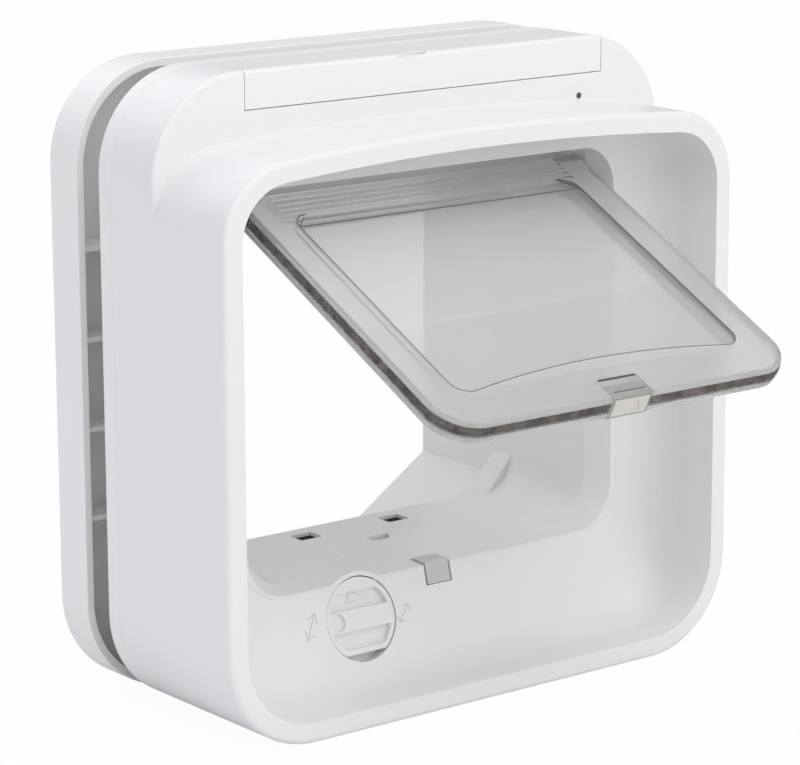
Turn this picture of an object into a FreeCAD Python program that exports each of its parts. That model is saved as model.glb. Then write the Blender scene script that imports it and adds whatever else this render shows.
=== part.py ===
import FreeCAD, Part
import math
import os
import re
import Sketcher

# Cat flap for a door: a hooded indoor unit with a swinging clear flap, a plate and
# tunnel sleeve behind it, and an outdoor frame that slides on the sleeve.
# X runs to the right seen from indoors, Y runs outdoors and Z up. The origin is the
# centre of the four fixing screws, on the face that lies against the door.
# A depth is measured from that face towards the room, so it is minus Y.

Vector = FreeCAD.Vector
Placement = FreeCAD.Placement
Rotation = FreeCAD.Rotation

# Driving dimensions in millimetres and degrees
sizes = [
    ("frame_width", 210, "width of both frames"),
    ("frame_height", 210, "height of both frames"),
    ("corner_radius", 33, "corners of both frames"),
    ("plate_depth", 6.1, "depth of the plate behind the housing"),
    ("plate_skin", 2.4, "thickness of the plate's skin"),
    ("plate_wall", 2.4, "wall round the plate"),
    ("block_depth", 30, "front of the block that holds the batteries"),
    ("block_round", 1.5, "rounding of the block's front edge"),
    ("hood_depth", 67.7, "front of the hood's lip"),
    ("hood_rise", 85.8, "top of the hood above the centre"),
    ("hood_crown", 1000, "radius of the crowned top of the hood"),
    ("hood_corner", 25, "upper corners of the hood"),
    ("hood_round", 2, "rounding of the lip's outer edge"),
    ("lip_width", 6.9, "width of the lip"),
    ("cove_radius", 12, "cove between the fascia and the hood"),
    ("wall_thick", 2.4, "wall of the housing"),
    ("seam_round", 0.4, "rounding of the edges along a seam"),
    ("fascia_depth", 38.5, "fascia in front of the door face"),
    ("fascia_lean", 15, "lean of the fascia below the sill"),
    ("sill_drop", 65, "sill below the centre"),
    ("passage_width", 145, "width of the passage at the flap"),
    ("passage_top", 68.5, "top of the passage above the centre"),
    ("flare_depth", 30, "depth at which the passage starts to flare"),
    ("flare_width", 5, "flare on each side at the fascia"),
    ("mouth_low", 16, "lower corners of the passage at the fascia"),
    ("mouth_high", 14, "upper corners of the passage at the fascia"),
    ("throat_low", 18, "lower corners of the passage at the flare"),
    ("throat_high", 5, "upper corners of the passage at the flare"),
    ("crest_depth", 5, "depth of the highest line of the floor"),
    ("crest_drop", 62.6, "raised floor below the centre"),
    ("crest_low", 20, "lower corners of the passage at the crest"),
    ("crest_high", 11, "upper corners of the passage at the crest"),
    ("liner_end", 18, "end of the passage liner behind the door face"),
    ("liner_high", 17, "upper corners of the passage at its end"),
    ("liner_wall", 2, "wall of the passage liner"),
    ("flange_thick", 2, "flange at the end of the liner"),
    ("flange_clear", 0.3, "gap between the flange and the sleeve"),
    ("sleeve_width", 155, "width of the tunnel sleeve"),
    ("sleeve_height", 166, "height of the tunnel sleeve"),
    ("sleeve_wall", 2.2, "wall of the sleeve"),
    ("sleeve_length", 63, "length of the sleeve behind the door face"),
    ("low_bevel_width", 36, "width of the sleeve's lower bevels"),
    ("low_bevel_height", 24, "height of the sleeve's lower bevels"),
    ("high_bevel_width", 26.5, "width of the sleeve's upper bevels"),
    ("high_bevel_height", 17, "height of the sleeve's upper bevels"),
    ("door_gap", 13, "door thickness between the two frames"),
    ("outer_depth", 17.5, "depth of the outdoor frame"),
    ("outer_wall", 2.6, "wall of the outdoor frame"),
    ("outer_round", 3, "rounding of the outdoor frame's rear edge"),
    ("outer_clear", 0.5, "gap between the outdoor frame and the sleeve"),
    ("collar_wall", 2, "collar round the outdoor frame's opening"),
    ("rib_thick", 1.6, "ribs inside the outdoor frame"),
    ("rib_depth", 12, "depth of those ribs"),
    ("rib_start", 44.2, "lowest rib below the centre"),
    ("rib_pitch", 29.8, "spacing of the ribs"),
    ("rib_count", 4, "ribs on each side"),
    ("fixing_width", 148, "fixing screws from side to side"),
    ("fixing_height", 150, "fixing screws from top to bottom"),
    ("fixing_boss", 4.6, "radius of the bosses for the fixing screws"),
    ("fixing_radius", 2.25, "radius of the holes for the fixing screws"),
    ("fixing_reach", 34, "depth that those holes reach"),
    ("insert_radius", 3.2, "radius of the threaded inserts"),
    ("insert_bore", 2, "radius of the inserts' thread"),
    ("insert_length", 8, "length of the inserts"),
    ("head_room", 4.1, "radius of the recess for a fixing screw's head"),
    ("head_sink", 6, "depth of that recess"),
    ("head_wall", 1.5, "wall round that recess"),
    ("joint_width", 174, "housing screws from side to side"),
    ("joint_height", 174, "housing screws from top to bottom"),
    ("joint_boss", 4.4, "radius of the bosses for the housing screws"),
    ("joint_radius", 1.5, "radius of a housing screw"),
    ("joint_clear", 0.05, "radial clearance of a housing screw"),
    ("joint_head", 2.8, "radius of a housing screw's head"),
    ("joint_head_height", 1.8, "height of a housing screw's head"),
    ("joint_room", 0.3, "gap round the head of a housing screw"),
    ("joint_reach", 18, "depth that a housing screw reaches"),
    ("boss_front", 45, "depth that the bosses in the housing reach"),
    ("screw_spare", 2, "hole left beyond a housing screw's end"),
    ("cover_left", 69.5, "left end of the battery cover from the centre"),
    ("cover_right", 78.6, "right end of the battery cover from the centre"),
    ("cover_drop", 12.4, "foot of the cover's skirt below the top"),
    ("cover_back", 8, "depth at which the battery cover starts"),
    ("cover_thick", 2, "thickness of the battery cover"),
    ("cover_clear", 0.3, "gap round the battery cover"),
    ("cell_radius", 7.2, "radius of a battery"),
    ("cell_length", 49.5, "length of a battery without its button"),
    ("cell_clear", 0.3, "gap round a battery"),
    ("button_radius", 2.7, "radius of a battery's button"),
    ("button_height", 1, "height of a battery's button"),
    ("tray_wall", 1.2, "wall of the battery tray"),
    ("tray_rise", 26, "height of the battery tray"),
    ("contact_thick", 0.5, "thickness of a battery contact"),
    ("contact_width", 8, "width of a battery contact"),
    ("board_thick", 1.6, "thickness of the circuit boards"),
    ("board_left", 24, "left end of the main board"),
    ("board_right", 68, "right end of the main board"),
    ("board_top", 80, "top of the main board below the centre"),
    ("board_foot", 100, "foot of the main board below the centre"),
    ("board_post", 2.2, "radius of the posts that carry a board"),
    ("part_gap", 4, "spacing of the parts on the main board"),
    ("chip_side", 10, "side of the processor"),
    ("chip_height", 1.6, "height of the processor"),
    ("relay_width", 12, "width of the latch driver"),
    ("relay_side", 9, "side of the latch driver"),
    ("relay_height", 7, "height of the latch driver"),
    ("socket_width", 7, "width of the cable socket"),
    ("socket_side", 12, "side of the cable socket"),
    ("socket_height", 5, "height of the cable socket"),
    ("can_radius", 2.5, "radius of the capacitor"),
    ("can_height", 8, "height of the capacitor"),
    ("crystal_radius", 1.8, "radius of the crystal"),
    ("crystal_height", 3.5, "height of the crystal"),
    ("panel_depth", 12.6, "front of the indicator board"),
    ("panel_left", 56, "left end of the indicator board"),
    ("panel_right", 81.5, "right end of the indicator board"),
    ("panel_foot", 80, "foot of the indicator board above the centre"),
    ("panel_top", 95, "top of the indicator board above the centre"),
    ("panel_post", 88, "height of the posts of the indicator board"),
    ("light_across", 69, "indicator light from the centre"),
    ("light_height", 84.9, "indicator light above the centre"),
    ("light_radius", 1.1, "radius of the indicator light's hole"),
    ("light_clear", 0.1, "gap round the indicator light"),
    ("switch_across", 66, "learn button from the centre"),
    ("switch_radius", 2.5, "radius of the learn button"),
    ("switch_height", 2.6, "height of the learn button's head"),
    ("switch_travel", 1, "gap below the learn button's head"),
    ("switch_stem", 1.4, "radius of the learn button's stem"),
    ("switch_sink", 3, "length of the stem inside the switch"),
    ("switch_clear", 0.05, "radial clearance of the stem"),
    ("switch_side", 8, "width of the switch body"),
    ("switch_foot", 88, "foot of the switch body above the centre"),
    ("hinge_depth", 25, "flap hinge in front of the door face"),
    ("hinge_rise", 60.9, "flap hinge above the centre"),
    ("hinge_radius", 1.5, "radius of a hinge pin"),
    ("hinge_clear", 0.05, "radial clearance of a hinge pin"),
    ("hinge_boss", 4.2, "radius of the bosses for the hinge pins"),
    ("hinge_seat", 4.5, "length of a hinge boss outside the liner"),
    ("hinge_inside", 9, "length of a hinge pin inside the flap"),
    ("flap_angle", 63.3, "angle at which the flap stands open"),
    ("flap_width", 142.2, "width of the flap"),
    ("flap_drop", 121.5, "flap below its hinge"),
    ("flap_head", 3.5, "flap above its hinge"),
    ("flap_thick", 8, "thickness of the flap"),
    ("flap_low", 14, "lower corners of the flap"),
    ("flap_high", 2, "upper corners of the flap"),
    ("flap_round", 1, "rounding of the flap's face edges"),
    ("window_width", 117, "width of the flap's window"),
    ("window_top", 12.5, "top of the window below the hinge"),
    ("window_low", 14.5, "window's lower corners above the flap's edge"),
    ("window_arch", 5, "rise of the window's lower edge in the middle"),
    ("window_corner", 6, "corners of the window"),
    ("window_sink", 2.8, "depth of the window on each face"),
    ("flute_width", 1.3, "width of the flutes along the top bar"),
    ("flute_sink", 0.5, "depth of the flutes"),
    ("flute_pitch", 2.6, "spacing of the flutes"),
    ("flute_count", 5, "flutes along the top bar"),
    ("flute_half", 60, "half the length of the flutes"),
    ("brush_sink", 1.6, "depth of the brush groove"),
    ("brush_proud", 0.8, "brush standing out of its groove"),
    ("brush_width", 4, "width of the brush"),
    ("brush_start", 8, "start of the brushes below the hinge"),
    ("brush_end", 0.5, "rounding of the brushes' upper ends"),
    ("magnet_width", 14, "width of the magnet"),
    ("magnet_height", 7, "height of the magnet"),
    ("magnet_thick", 3.5, "thickness of the magnet"),
    ("holder_wall", 1.2, "wall of the magnet holder"),
    ("holder_top", 2, "top of the magnet holder above the magnet"),
    ("holder_clear", 0.1, "gap round the magnet holder"),
    ("keeper_half", 8, "half the width of the magnet under the floor"),
    ("keeper_back", 20, "back of the magnet under the floor"),
    ("keeper_front", 27, "front of the magnet under the floor"),
    ("keeper_top", 67.6, "top of the magnet under the floor below the centre"),
    ("keeper_foot", 70.9, "foot of the magnet under the floor below the centre"),
    ("keeper_wall", 1.3, "wall round the magnet under the floor"),
    ("keeper_clear", 0.1, "gap round the magnet under the floor"),
    ("dial_left", 34, "middle of the dial left of the centre"),
    ("dial_down", 12.55, "middle of the dial below the sill along the fascia"),
    ("dial_radius", 13.8, "radius of the dial"),
    ("dial_clear", 0.4, "gap round the dial"),
    ("dial_sink", 5, "depth of the dial's recess"),
    ("dial_face", 0.4, "dial's face below the fascia"),
    ("dial_flat", 11.2, "flat of the dial from its middle"),
    ("dial_grip", 7, "width of the dial's grip"),
    ("dial_hollow", 2, "depth of the hollows beside the grip"),
    ("dial_rim", 1.5, "rim of the dial"),
    ("dial_end", 9.4, "end of the hollows from the dial's middle"),
    ("thumb_radius", 3, "radius of the finger hollow"),
    ("thumb_left", 9.2, "finger hollow from the dial's middle"),
    ("thumb_sink", 1.2, "depth of the finger hollow"),
    ("cup_wall", 1.5, "wall of the dial's cup"),
    ("shaft_radius", 3, "radius of the dial's shaft"),
    ("shaft_clear", 0.05, "radial clearance of the dial's shaft"),
    ("shaft_length", 8, "length of the dial's shaft behind the dial"),
    ("cam_radius", 6, "radius of the dial's cam"),
    ("cam_lobe", 9, "reach of the cam's lobe"),
    ("cam_root", 4.2, "half the width of the lobe at its root"),
    ("cam_tip", 1.8, "half the width of the lobe at its tip"),
    ("cam_thick", 2.5, "thickness of the dial's cam"),
    ("cam_gap", 0.4, "gap between the cup and the cam"),
    ("clip_radius", 4.6, "radius of the clip behind the cam"),
    ("clip_thick", 0.8, "thickness of the clip"),
    ("latch_width", 9.5, "width of the entry latch"),
    ("latch_back", 31.5, "back of the entry latch's head"),
    ("latch_rise", 64, "top of the entry latch below the centre"),
    ("latch_step", 76.2, "top of the stem's back below the centre"),
    ("latch_foot", 97, "foot of the entry latch below the centre"),
    ("latch_clear", 0.75, "gap beside the entry latch in the fascia"),
    ("slot_drop", 71.5, "foot of the latch slot below the centre"),
    ("slot_seat", 0.3, "gap between the latch's head and the slot's foot"),
    ("stem_back", 29, "back of the entry latch's stem"),
    ("stem_front", 33.5, "front of the entry latch's stem"),
    ("tooth_module", 1, "module of the rack and pinion"),
    ("tooth_count", 10, "teeth of the pinion"),
    ("tooth_lean", 30, "pressure angle of the teeth"),
    ("tooth_head", 0.8, "height of a tooth above its pitch line"),
    ("tooth_foot", 1, "depth of a gap below the pitch line"),
    ("tooth_play", 0.15, "play between the rack and the pinion"),
    ("rack_count", 6, "gaps in the rack"),
    ("rack_below", 3.5, "pitches from the rack's lowest gap up to the pinion"),
    ("motor_drop", 83, "motor shaft below the centre"),
    ("motor_radius", 6, "radius of the latch motor"),
    ("motor_back", 10.8, "back of the latch motor"),
    ("motor_shaft", 1, "radius of the motor's shaft"),
    ("motor_clear", 0.05, "radial clearance of the motor's shaft"),
    ("motor_bore", 4, "depth of the shaft's bore in the motor"),
    ("gear_back", 29.3, "back of the pinion"),
    ("gear_front", 33.3, "front of the pinion"),
    ("guide_back", 26.8, "back of the latch guide"),
    ("guide_thick", 1.9, "thickness of the latch guide"),
    ("guide_front", 34, "front of the latch guide's rails"),
    ("guide_rail", 1.7, "width of the latch guide's rails"),
    ("guide_clear", 0.3, "gap between the latch and its guide"),
    ("guide_top", 72, "top of the latch guide below the centre"),
    ("guide_foot", 100, "foot of the latch guide below the centre"),
    ("guide_right", 17, "right end of the latch guide"),
    ("guide_post", 2.5, "radius of the posts that carry the latch guide"),
    ("guide_post_left", 4, "left post from the centre"),
    ("guide_post_right", 13.5, "right post from the centre"),
    ("port_radius", 5, "radius of the half-round port in the floor"),
    ("port_wall", 1.6, "wall of the guide under the port"),
    ("port_guide", 3, "length of the guide below the liner"),
    ("pin_clear", 0.3, "gap round the exit latch in its port"),
    ("pin_sink", 1.2, "exit latch below the floor"),
    ("bar_thick", 3, "thickness of the exit latch's bar"),
    ("bar_foot", 80.3, "foot of the exit latch below the centre"),
    ("arm_width", 8, "width of the exit latch's arm"),
    ("arm_front", 24, "front of the exit latch's arm"),
    ("sensor_across", 18.9, "sensor windows from the centre"),
    ("sensor_back", 9, "sensor windows behind the door face"),
    ("sensor_width", 8.8, "width of a hole for a sensor window"),
    ("sensor_length", 7.4, "length of a hole for a sensor window"),
    ("sensor_clear", 0.2, "gap round a sensor window"),
    ("sensor_sink", 1.2, "sensor windows below the floor"),
    ("sensor_foot", 70, "foot of the sensor windows below the centre"),
    ("sensor_half", 26, "half the width of the sensor board"),
    ("sensor_post", 9, "posts of the sensor board from the centre"),
    ("coil_back", 2.5, "back of the aerial coil"),
    ("coil_front", 4.7, "front of the aerial coil"),
    ("coil_thick", 2.5, "thickness of the aerial coil"),
    ("coil_clear", 0.3, "gap between the liner and the aerial coil"),
    ("spare_cut", 1, "how far a cut runs past a face"),
]

doc = FreeCAD.newDocument("CatFlap")
sheet = doc.addObject("Spreadsheet::Sheet", "Sizes")
for row, (alias, number, meaning) in enumerate(sizes, start=1):
    sheet.set(f"A{row}", meaning)
    sheet.set(f"B{row}", str(number))
    sheet.setAlias(f"B{row}", alias)
doc.recompute()


# Expressions: every word with an underscore is an alias of the sheet
def in_sheet(text):
    return re.sub(r"[a-z]+(_[a-z]+)+", lambda word: "Sizes." + word.group(0), str(text))


def bind(item, path, text):
    item.setExpression(path, in_sheet(text))


def amount(text):
    return float(sheet.evalExpression(in_sheet(text)))


def grown(text, change):
    return f"({text}) + ({change})"


def less(text, change):
    return f"({text}) - ({change})"


# Sketch outlines: each function returns one that draws into a sketch
def fix_point(sketch, line, end, across, up):
    for kind, text in (("DistanceX", across), ("DistanceY", up)):
        number = sketch.addConstraint(Sketcher.Constraint(kind, -1, 1, line, end, amount(text)))
        bind(sketch, f"Constraints[{number}]", text)


def fix_size(sketch, kind, items, text):
    number = sketch.addConstraint(Sketcher.Constraint(kind, *items, amount(text)))
    bind(sketch, f"Constraints[{number}]", text)


def polygon(*corners):
    def draw(sketch):
        first = sketch.GeometryCount
        count = len(corners)
        places = [Vector(amount(across), amount(up), 0) for across, up in corners]
        for index in range(count):
            sketch.addGeometry(Part.LineSegment(places[index], places[(index + 1) % count]))
        for index, (across, up) in enumerate(corners):
            after = first + (index + 1) % count
            sketch.addConstraint(Sketcher.Constraint("Coincident", first + index, 2, after, 1))
            fix_point(sketch, first + index, 1, across, up)
    return draw


def rectangle(left, right, bottom, top):
    return polygon((left, bottom), (right, bottom), (right, top), (left, top))


def disc(across, up, radius):
    def draw(sketch):
        centre = Vector(amount(across), amount(up), 0)
        item = sketch.addGeometry(Part.Circle(centre, Vector(0, 0, 1), amount(radius)))
        fix_point(sketch, item, 3, across, up)
        fix_size(sketch, "Radius", (item,), radius)
    return draw


def discs(places, radius):
    def draw(sketch):
        for across, up in places:
            disc(across, up, radius)(sketch)
    return draw


def arc_of(centre, radius, start, end):
    return Part.ArcOfCircle(Part.Circle(centre, Vector(0, 0, 1), radius), start, end)


def close_chain(sketch, first, joints):
    for one, one_end, two, two_end in joints:
        sketch.addConstraint(Sketcher.Constraint("Tangent", first + one, one_end, first + two, two_end))


def rounded(half, bottom, top, low_radius, high_radius=None, crown=None):
    """Upright outline, even about the middle; with a crown its top is a large arc."""
    high_radius = high_radius or low_radius

    def draw(sketch):
        first = sketch.GeometryCount
        side, low, high = amount(half), amount(bottom), amount(top)
        low_round, high_round = amount(low_radius), amount(high_radius)
        quarter, turn = math.pi / 2, math.pi / 2
        centre_up = high - high_round
        if crown:
            crown_radius = amount(crown)
            drop = (crown_radius - high_round) ** 2 - (side - high_round) ** 2
            centre_up = high - crown_radius + math.sqrt(drop)
            turn = math.atan2(math.sqrt(drop), side - high_round)
        in_low, in_high = side - low_round, side - high_round
        sketch.addGeometry(Part.LineSegment(Vector(-in_low, low, 0), Vector(in_low, low, 0)))
        sketch.addGeometry(arc_of(Vector(in_low, low + low_round, 0), low_round, -quarter, 0))
        sketch.addGeometry(Part.LineSegment(Vector(side, low + low_round, 0), Vector(side, centre_up, 0)))
        sketch.addGeometry(arc_of(Vector(in_high, centre_up, 0), high_round, 0, turn))
        if crown:
            middle = Vector(0, high - crown_radius, 0)
            sketch.addGeometry(arc_of(middle, crown_radius, turn, math.pi - turn))
        else:
            sketch.addGeometry(Part.LineSegment(Vector(in_high, high, 0), Vector(-in_high, high, 0)))
        sketch.addGeometry(arc_of(Vector(-in_high, centre_up, 0), high_round, math.pi - turn, math.pi))
        left_foot = Vector(-side, low + low_round, 0)
        sketch.addGeometry(Part.LineSegment(Vector(-side, centre_up, 0), left_foot))
        sketch.addGeometry(arc_of(Vector(-in_low, low + low_round, 0), low_round, math.pi, 3 * quarter))
        close_chain(sketch, first, [(item, 2, (item + 1) % 8, 1) for item in range(8)])
        sketch.addConstraint(Sketcher.Constraint("Horizontal", first))
        sketch.addConstraint(Sketcher.Constraint("Vertical", first + 2))
        sketch.addConstraint(Sketcher.Constraint("Vertical", first + 6))
        sketch.addConstraint(Sketcher.Constraint("Equal", first + 1, first + 7))
        sketch.addConstraint(Sketcher.Constraint("Equal", first + 3, first + 5))
        fix_size(sketch, "Radius", (first + 1,), low_radius)
        fix_size(sketch, "Radius", (first + 3,), high_radius)
        fix_size(sketch, "DistanceY", (-1, 1, first, 1), bottom)
        fix_size(sketch, "DistanceX", (-1, 1, first + 2, 1), half)
        fix_size(sketch, "DistanceX", (-1, 1, first + 6, 1), f"-({half})")
        if crown:
            sketch.addConstraint(Sketcher.Constraint("PointOnObject", first + 4, 3, -2))
            fix_size(sketch, "Radius", (first + 4,), crown)
            fix_size(sketch, "DistanceY", (-1, 1, first + 4, 3), f"({top}) - ({crown})")
        else:
            sketch.addConstraint(Sketcher.Constraint("Horizontal", first + 4))
            fix_size(sketch, "DistanceY", (-1, 1, first + 4, 1), top)
    return draw


def arched_window(half, bottom, arch, top, radius):
    """Window outline whose lower edge rises in the middle by the arch."""
    bow = f"((({half}) - ({radius})) ^ 2 / ({arch}) + ({arch})) / 2"

    def draw(sketch):
        side, low, rise, high = amount(half), amount(bottom), amount(arch), amount(top)
        small, large = amount(radius), amount(bow)
        sink = low + rise - large
        inner = side - small
        centre_up = sink + math.sqrt((large + small) ** 2 - inner ** 2)
        lean = math.atan2(centre_up - sink, inner)
        sketch.addGeometry(arc_of(Vector(0, sink, 0), large, lean, math.pi - lean))
        sketch.addGeometry(arc_of(Vector(inner, centre_up, 0), small, lean - math.pi, 0))
        sketch.addGeometry(Part.LineSegment(Vector(side, centre_up, 0), Vector(side, high - small, 0)))
        sketch.addGeometry(arc_of(Vector(inner, high - small, 0), small, 0, math.pi / 2))
        sketch.addGeometry(Part.LineSegment(Vector(inner, high, 0), Vector(-inner, high, 0)))
        sketch.addGeometry(arc_of(Vector(-inner, high - small, 0), small, math.pi / 2, math.pi))
        sketch.addGeometry(Part.LineSegment(Vector(-side, high - small, 0), Vector(-side, centre_up, 0)))
        sketch.addGeometry(arc_of(Vector(-inner, centre_up, 0), small, math.pi, 2 * math.pi - lean))
        chain = [(item, 2, item + 1, 1) for item in range(1, 7)]
        close_chain(sketch, 0, [(0, 1, 1, 1)] + chain + [(7, 2, 0, 2)])
        for item in (2, 6):
            sketch.addConstraint(Sketcher.Constraint("Vertical", item))
        sketch.addConstraint(Sketcher.Constraint("Horizontal", 4))
        for item in (3, 5, 7):
            sketch.addConstraint(Sketcher.Constraint("Equal", 1, item))
        sketch.addConstraint(Sketcher.Constraint("PointOnObject", 0, 3, -2))
        fix_size(sketch, "Radius", (1,), radius)
        fix_size(sketch, "Radius", (0,), bow)
        fix_size(sketch, "DistanceY", (-1, 1, 0, 3), f"({bottom}) + ({arch}) - ({bow})")
        fix_size(sketch, "DistanceX", (-1, 1, 2, 1), half)
        fix_size(sketch, "DistanceX", (-1, 1, 6, 1), f"-({half})")
        fix_size(sketch, "DistanceY", (-1, 1, 4, 1), top)
    return draw


# A body of sketches and features, in which depths run along the sketch plane's normal
class Moulding:
    def __init__(self, label):
        self.body = doc.addObject("PartDesign::Body", label)
        self.body.Label = label

    def add(self, kind, name):
        return self.body.newObject(kind, self.body.Name + name)

    def sketch(self, draw, depth, role):
        sketch = self.add("Sketcher::SketchObject", "Sketch")
        planes = self.body.Origin.OriginFeatures
        sketch.AttachmentSupport = [(next(item for item in planes if item.Role == role), "")]
        sketch.MapMode = "FlatFace"
        bind(sketch, ".AttachmentOffset.Base.z", depth)
        draw(sketch)
        return sketch

    def pad(self, draw, start, end, role="XZ_Plane"):
        feature = self.add("PartDesign::Pad", "Pad")
        feature.Profile = self.sketch(draw, start, role)
        bind(feature, "Length", less(end, start))
        return self

    def pocket(self, draw, start, end, role="XZ_Plane"):
        feature = self.add("PartDesign::Pocket", "Pocket")
        feature.Profile = self.sketch(draw, end, role)
        bind(feature, "Length", less(end, start))
        return self

    def loft(self, sections, role="XZ_Plane"):
        sketches = [self.sketch(draw, depth, role) for draw, depth in sections]
        feature = self.add("PartDesign::AdditiveLoft", "Loft")
        feature.Profile = sketches[0]
        feature.Sections = sketches[1:]
        feature.Ruled = True
        return self

    def soften(self, radius, wanted):
        doc.recompute()
        base = self.body.Tip
        edges = [f"Edge{number}" for number, edge in enumerate(base.Shape.Edges, start=1) if wanted(edge)]
        feature = self.add("PartDesign::Fillet", "Fillet")
        feature.Base = (base, edges)
        bind(feature, "Radius", radius)
        return self

    def repeat(self, kind, axis, count, extent):
        """Repeats the last feature along or about an axis of its own sketch."""
        last = self.body.Tip
        feature = self.add("PartDesign::" + kind, "Pattern")
        feature.Originals = [last]
        sketch = last.Profile[0]
        if kind == "PolarPattern":
            feature.Axis = (sketch, [axis])
            bind(feature, "Angle", extent)
        else:
            feature.Direction = (sketch, [axis])
            bind(feature, "Length", extent)
        bind(feature, "Occurrences", count)
        self.body.Tip = feature
        return self


def at_depth(depth):
    place = -amount(depth)
    return lambda edge: all(abs(vertex.Y - place) < 0.001 for vertex in edge.Vertexes)


# Primitives and booleans
def box(name, left, right, back, front, bottom, top):
    item = doc.addObject("Part::Box", name)
    bind(item, "Length", less(right, left))
    bind(item, "Width", less(front, back))
    bind(item, "Height", less(top, bottom))
    bind(item, ".Placement.Base.x", left)
    bind(item, ".Placement.Base.y", f"-({front})")
    bind(item, ".Placement.Base.z", bottom)
    return item


def rod(name, across, up, radius, back, front):
    """Round bar along the depth."""
    item = doc.addObject("Part::Cylinder", name)
    item.Placement = Placement(Vector(), Rotation(Vector(1, 0, 0), 90))
    bind(item, "Radius", radius)
    bind(item, "Height", less(front, back))
    bind(item, ".Placement.Base.x", across)
    bind(item, ".Placement.Base.y", f"-({back})")
    bind(item, ".Placement.Base.z", up)
    return item


def bar(name, left, right, depth, up, radius):
    """Round bar from left to right."""
    item = doc.addObject("Part::Cylinder", name)
    item.Placement = Placement(Vector(), Rotation(Vector(0, 1, 0), 90))
    bind(item, "Radius", radius)
    bind(item, "Height", less(right, left))
    bind(item, ".Placement.Base.x", left)
    bind(item, ".Placement.Base.y", f"-({depth})")
    bind(item, ".Placement.Base.z", up)
    return item


def post(name, across, depth, radius, bottom, top):
    """Upright round bar."""
    item = doc.addObject("Part::Cylinder", name)
    bind(item, "Radius", radius)
    bind(item, "Height", less(top, bottom))
    bind(item, ".Placement.Base.x", across)
    bind(item, ".Placement.Base.y", f"-({depth})")
    bind(item, ".Placement.Base.z", bottom)
    return item


def shape_of(item):
    return item.body if isinstance(item, Moulding) else item


def union(name, items):
    item = doc.addObject("Part::MultiFuse", name)
    item.Shapes = [shape_of(one) for one in items]
    return item


def cut(name, base, tools):
    item = doc.addObject("Part::Cut", name)
    item.Base = shape_of(base)
    item.Tool = shape_of(tools[0]) if len(tools) == 1 else union(name + "Tools", tools)
    return item


def common(name, one, two):
    item = doc.addObject("Part::Common", name)
    item.Base = shape_of(one)
    item.Tool = shape_of(two)
    return item


def lean(item, across, depth, up, angle):
    """Tips a piece forwards at its foot, about a line from left to right through its own origin."""
    item = shape_of(item)
    item.Placement = Placement(Vector(), Rotation(Vector(1, 0, 0), -10))
    bind(item, ".Placement.Base.x", across)
    bind(item, ".Placement.Base.y", f"-({depth})")
    bind(item, ".Placement.Base.z", up)
    bind(item, ".Placement.Rotation.Angle", f"-({angle}) * 1 deg")
    return item


pieces = {}


def keep(label, item):
    item = shape_of(item)
    item.Label = label
    pieces[label] = item


def corners(width, height):
    return [(f"{side} * {width} / 2", f"{level} * {height} / 2") for side in (-1, 1) for level in (-1, 1)]


fixing_places = corners("fixing_width", "fixing_height")
joint_places = corners("joint_width", "joint_height")
frame_low = "-frame_height / 2"
frame_high = "frame_height / 2"


# Outlines that several pieces share
def frame_outline(inset):
    half = less("frame_width / 2", inset)
    return rounded(half, grown(frame_low, inset), less(frame_high, inset), less("corner_radius", inset))


def hood_outline(inset):
    half = less("frame_width / 2", inset)
    radii = less("corner_radius", inset), less("hood_corner", inset), less("hood_crown", inset)
    return rounded(half, grown(frame_low, inset), less("hood_rise", inset), *radii)


def bevelled(change):
    """Outer outline of the sleeve, moved outwards by the change."""
    half, rise = grown("sleeve_width / 2", change), grown("sleeve_height / 2", change)

    def corner(width, height):
        slant = f"sqrt({width} ^ 2 + {height} ^ 2)"
        near = f"sleeve_width / 2 - {width} + ({change}) * ({slant} - {width}) / {height}"
        side = f"sleeve_height / 2 - {height} + ({change}) * ({slant} - {height}) / {width}"
        return near, side

    near_low, side_low = corner("low_bevel_width", "low_bevel_height")
    near_high, side_high = corner("high_bevel_width", "high_bevel_height")
    return polygon(
        (f"-({near_low})", f"-({rise})"), (near_low, f"-({rise})"),
        (half, f"-({side_low})"), (half, side_high),
        (near_high, rise), (f"-({near_high})", rise),
        (f"-({half})", side_high), (f"-({half})", f"-({side_low})"))


# Sections of the passage, moved outwards by the wall: half width, floor and corner radii
def passage_section(place, wall):
    slope = "(sill_drop - crest_drop) / (fascia_depth - crest_depth)"
    throat_floor = f"-sill_drop + (fascia_depth - flare_depth) * {slope}"
    half, floor, low, high = {
        "mouth": ("passage_width / 2 + flare_width", "-sill_drop", "mouth_low", "mouth_high"),
        "throat": ("passage_width / 2", throat_floor, "throat_low", "throat_high"),
        "crest": ("passage_width / 2", "-crest_drop", "crest_low", "crest_high"),
        "end": ("passage_width / 2", "-crest_drop", "crest_low", "liner_high"),
    }[place]
    radii = grown(low, wall), grown(high, wall)
    return rounded(grown(half, wall), less(floor, wall), grown("passage_top", wall), *radii)


def passage(name, wall):
    """Passage from the end of the liner over the crest to the flare at the fascia."""
    places = ("end", "-liner_end"), ("crest", "crest_depth"), ("throat", "flare_depth")
    places += (("mouth", "fascia_depth"),)
    return Moulding(name).loft([(passage_section(place, wall), depth) for place, depth in places])


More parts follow.
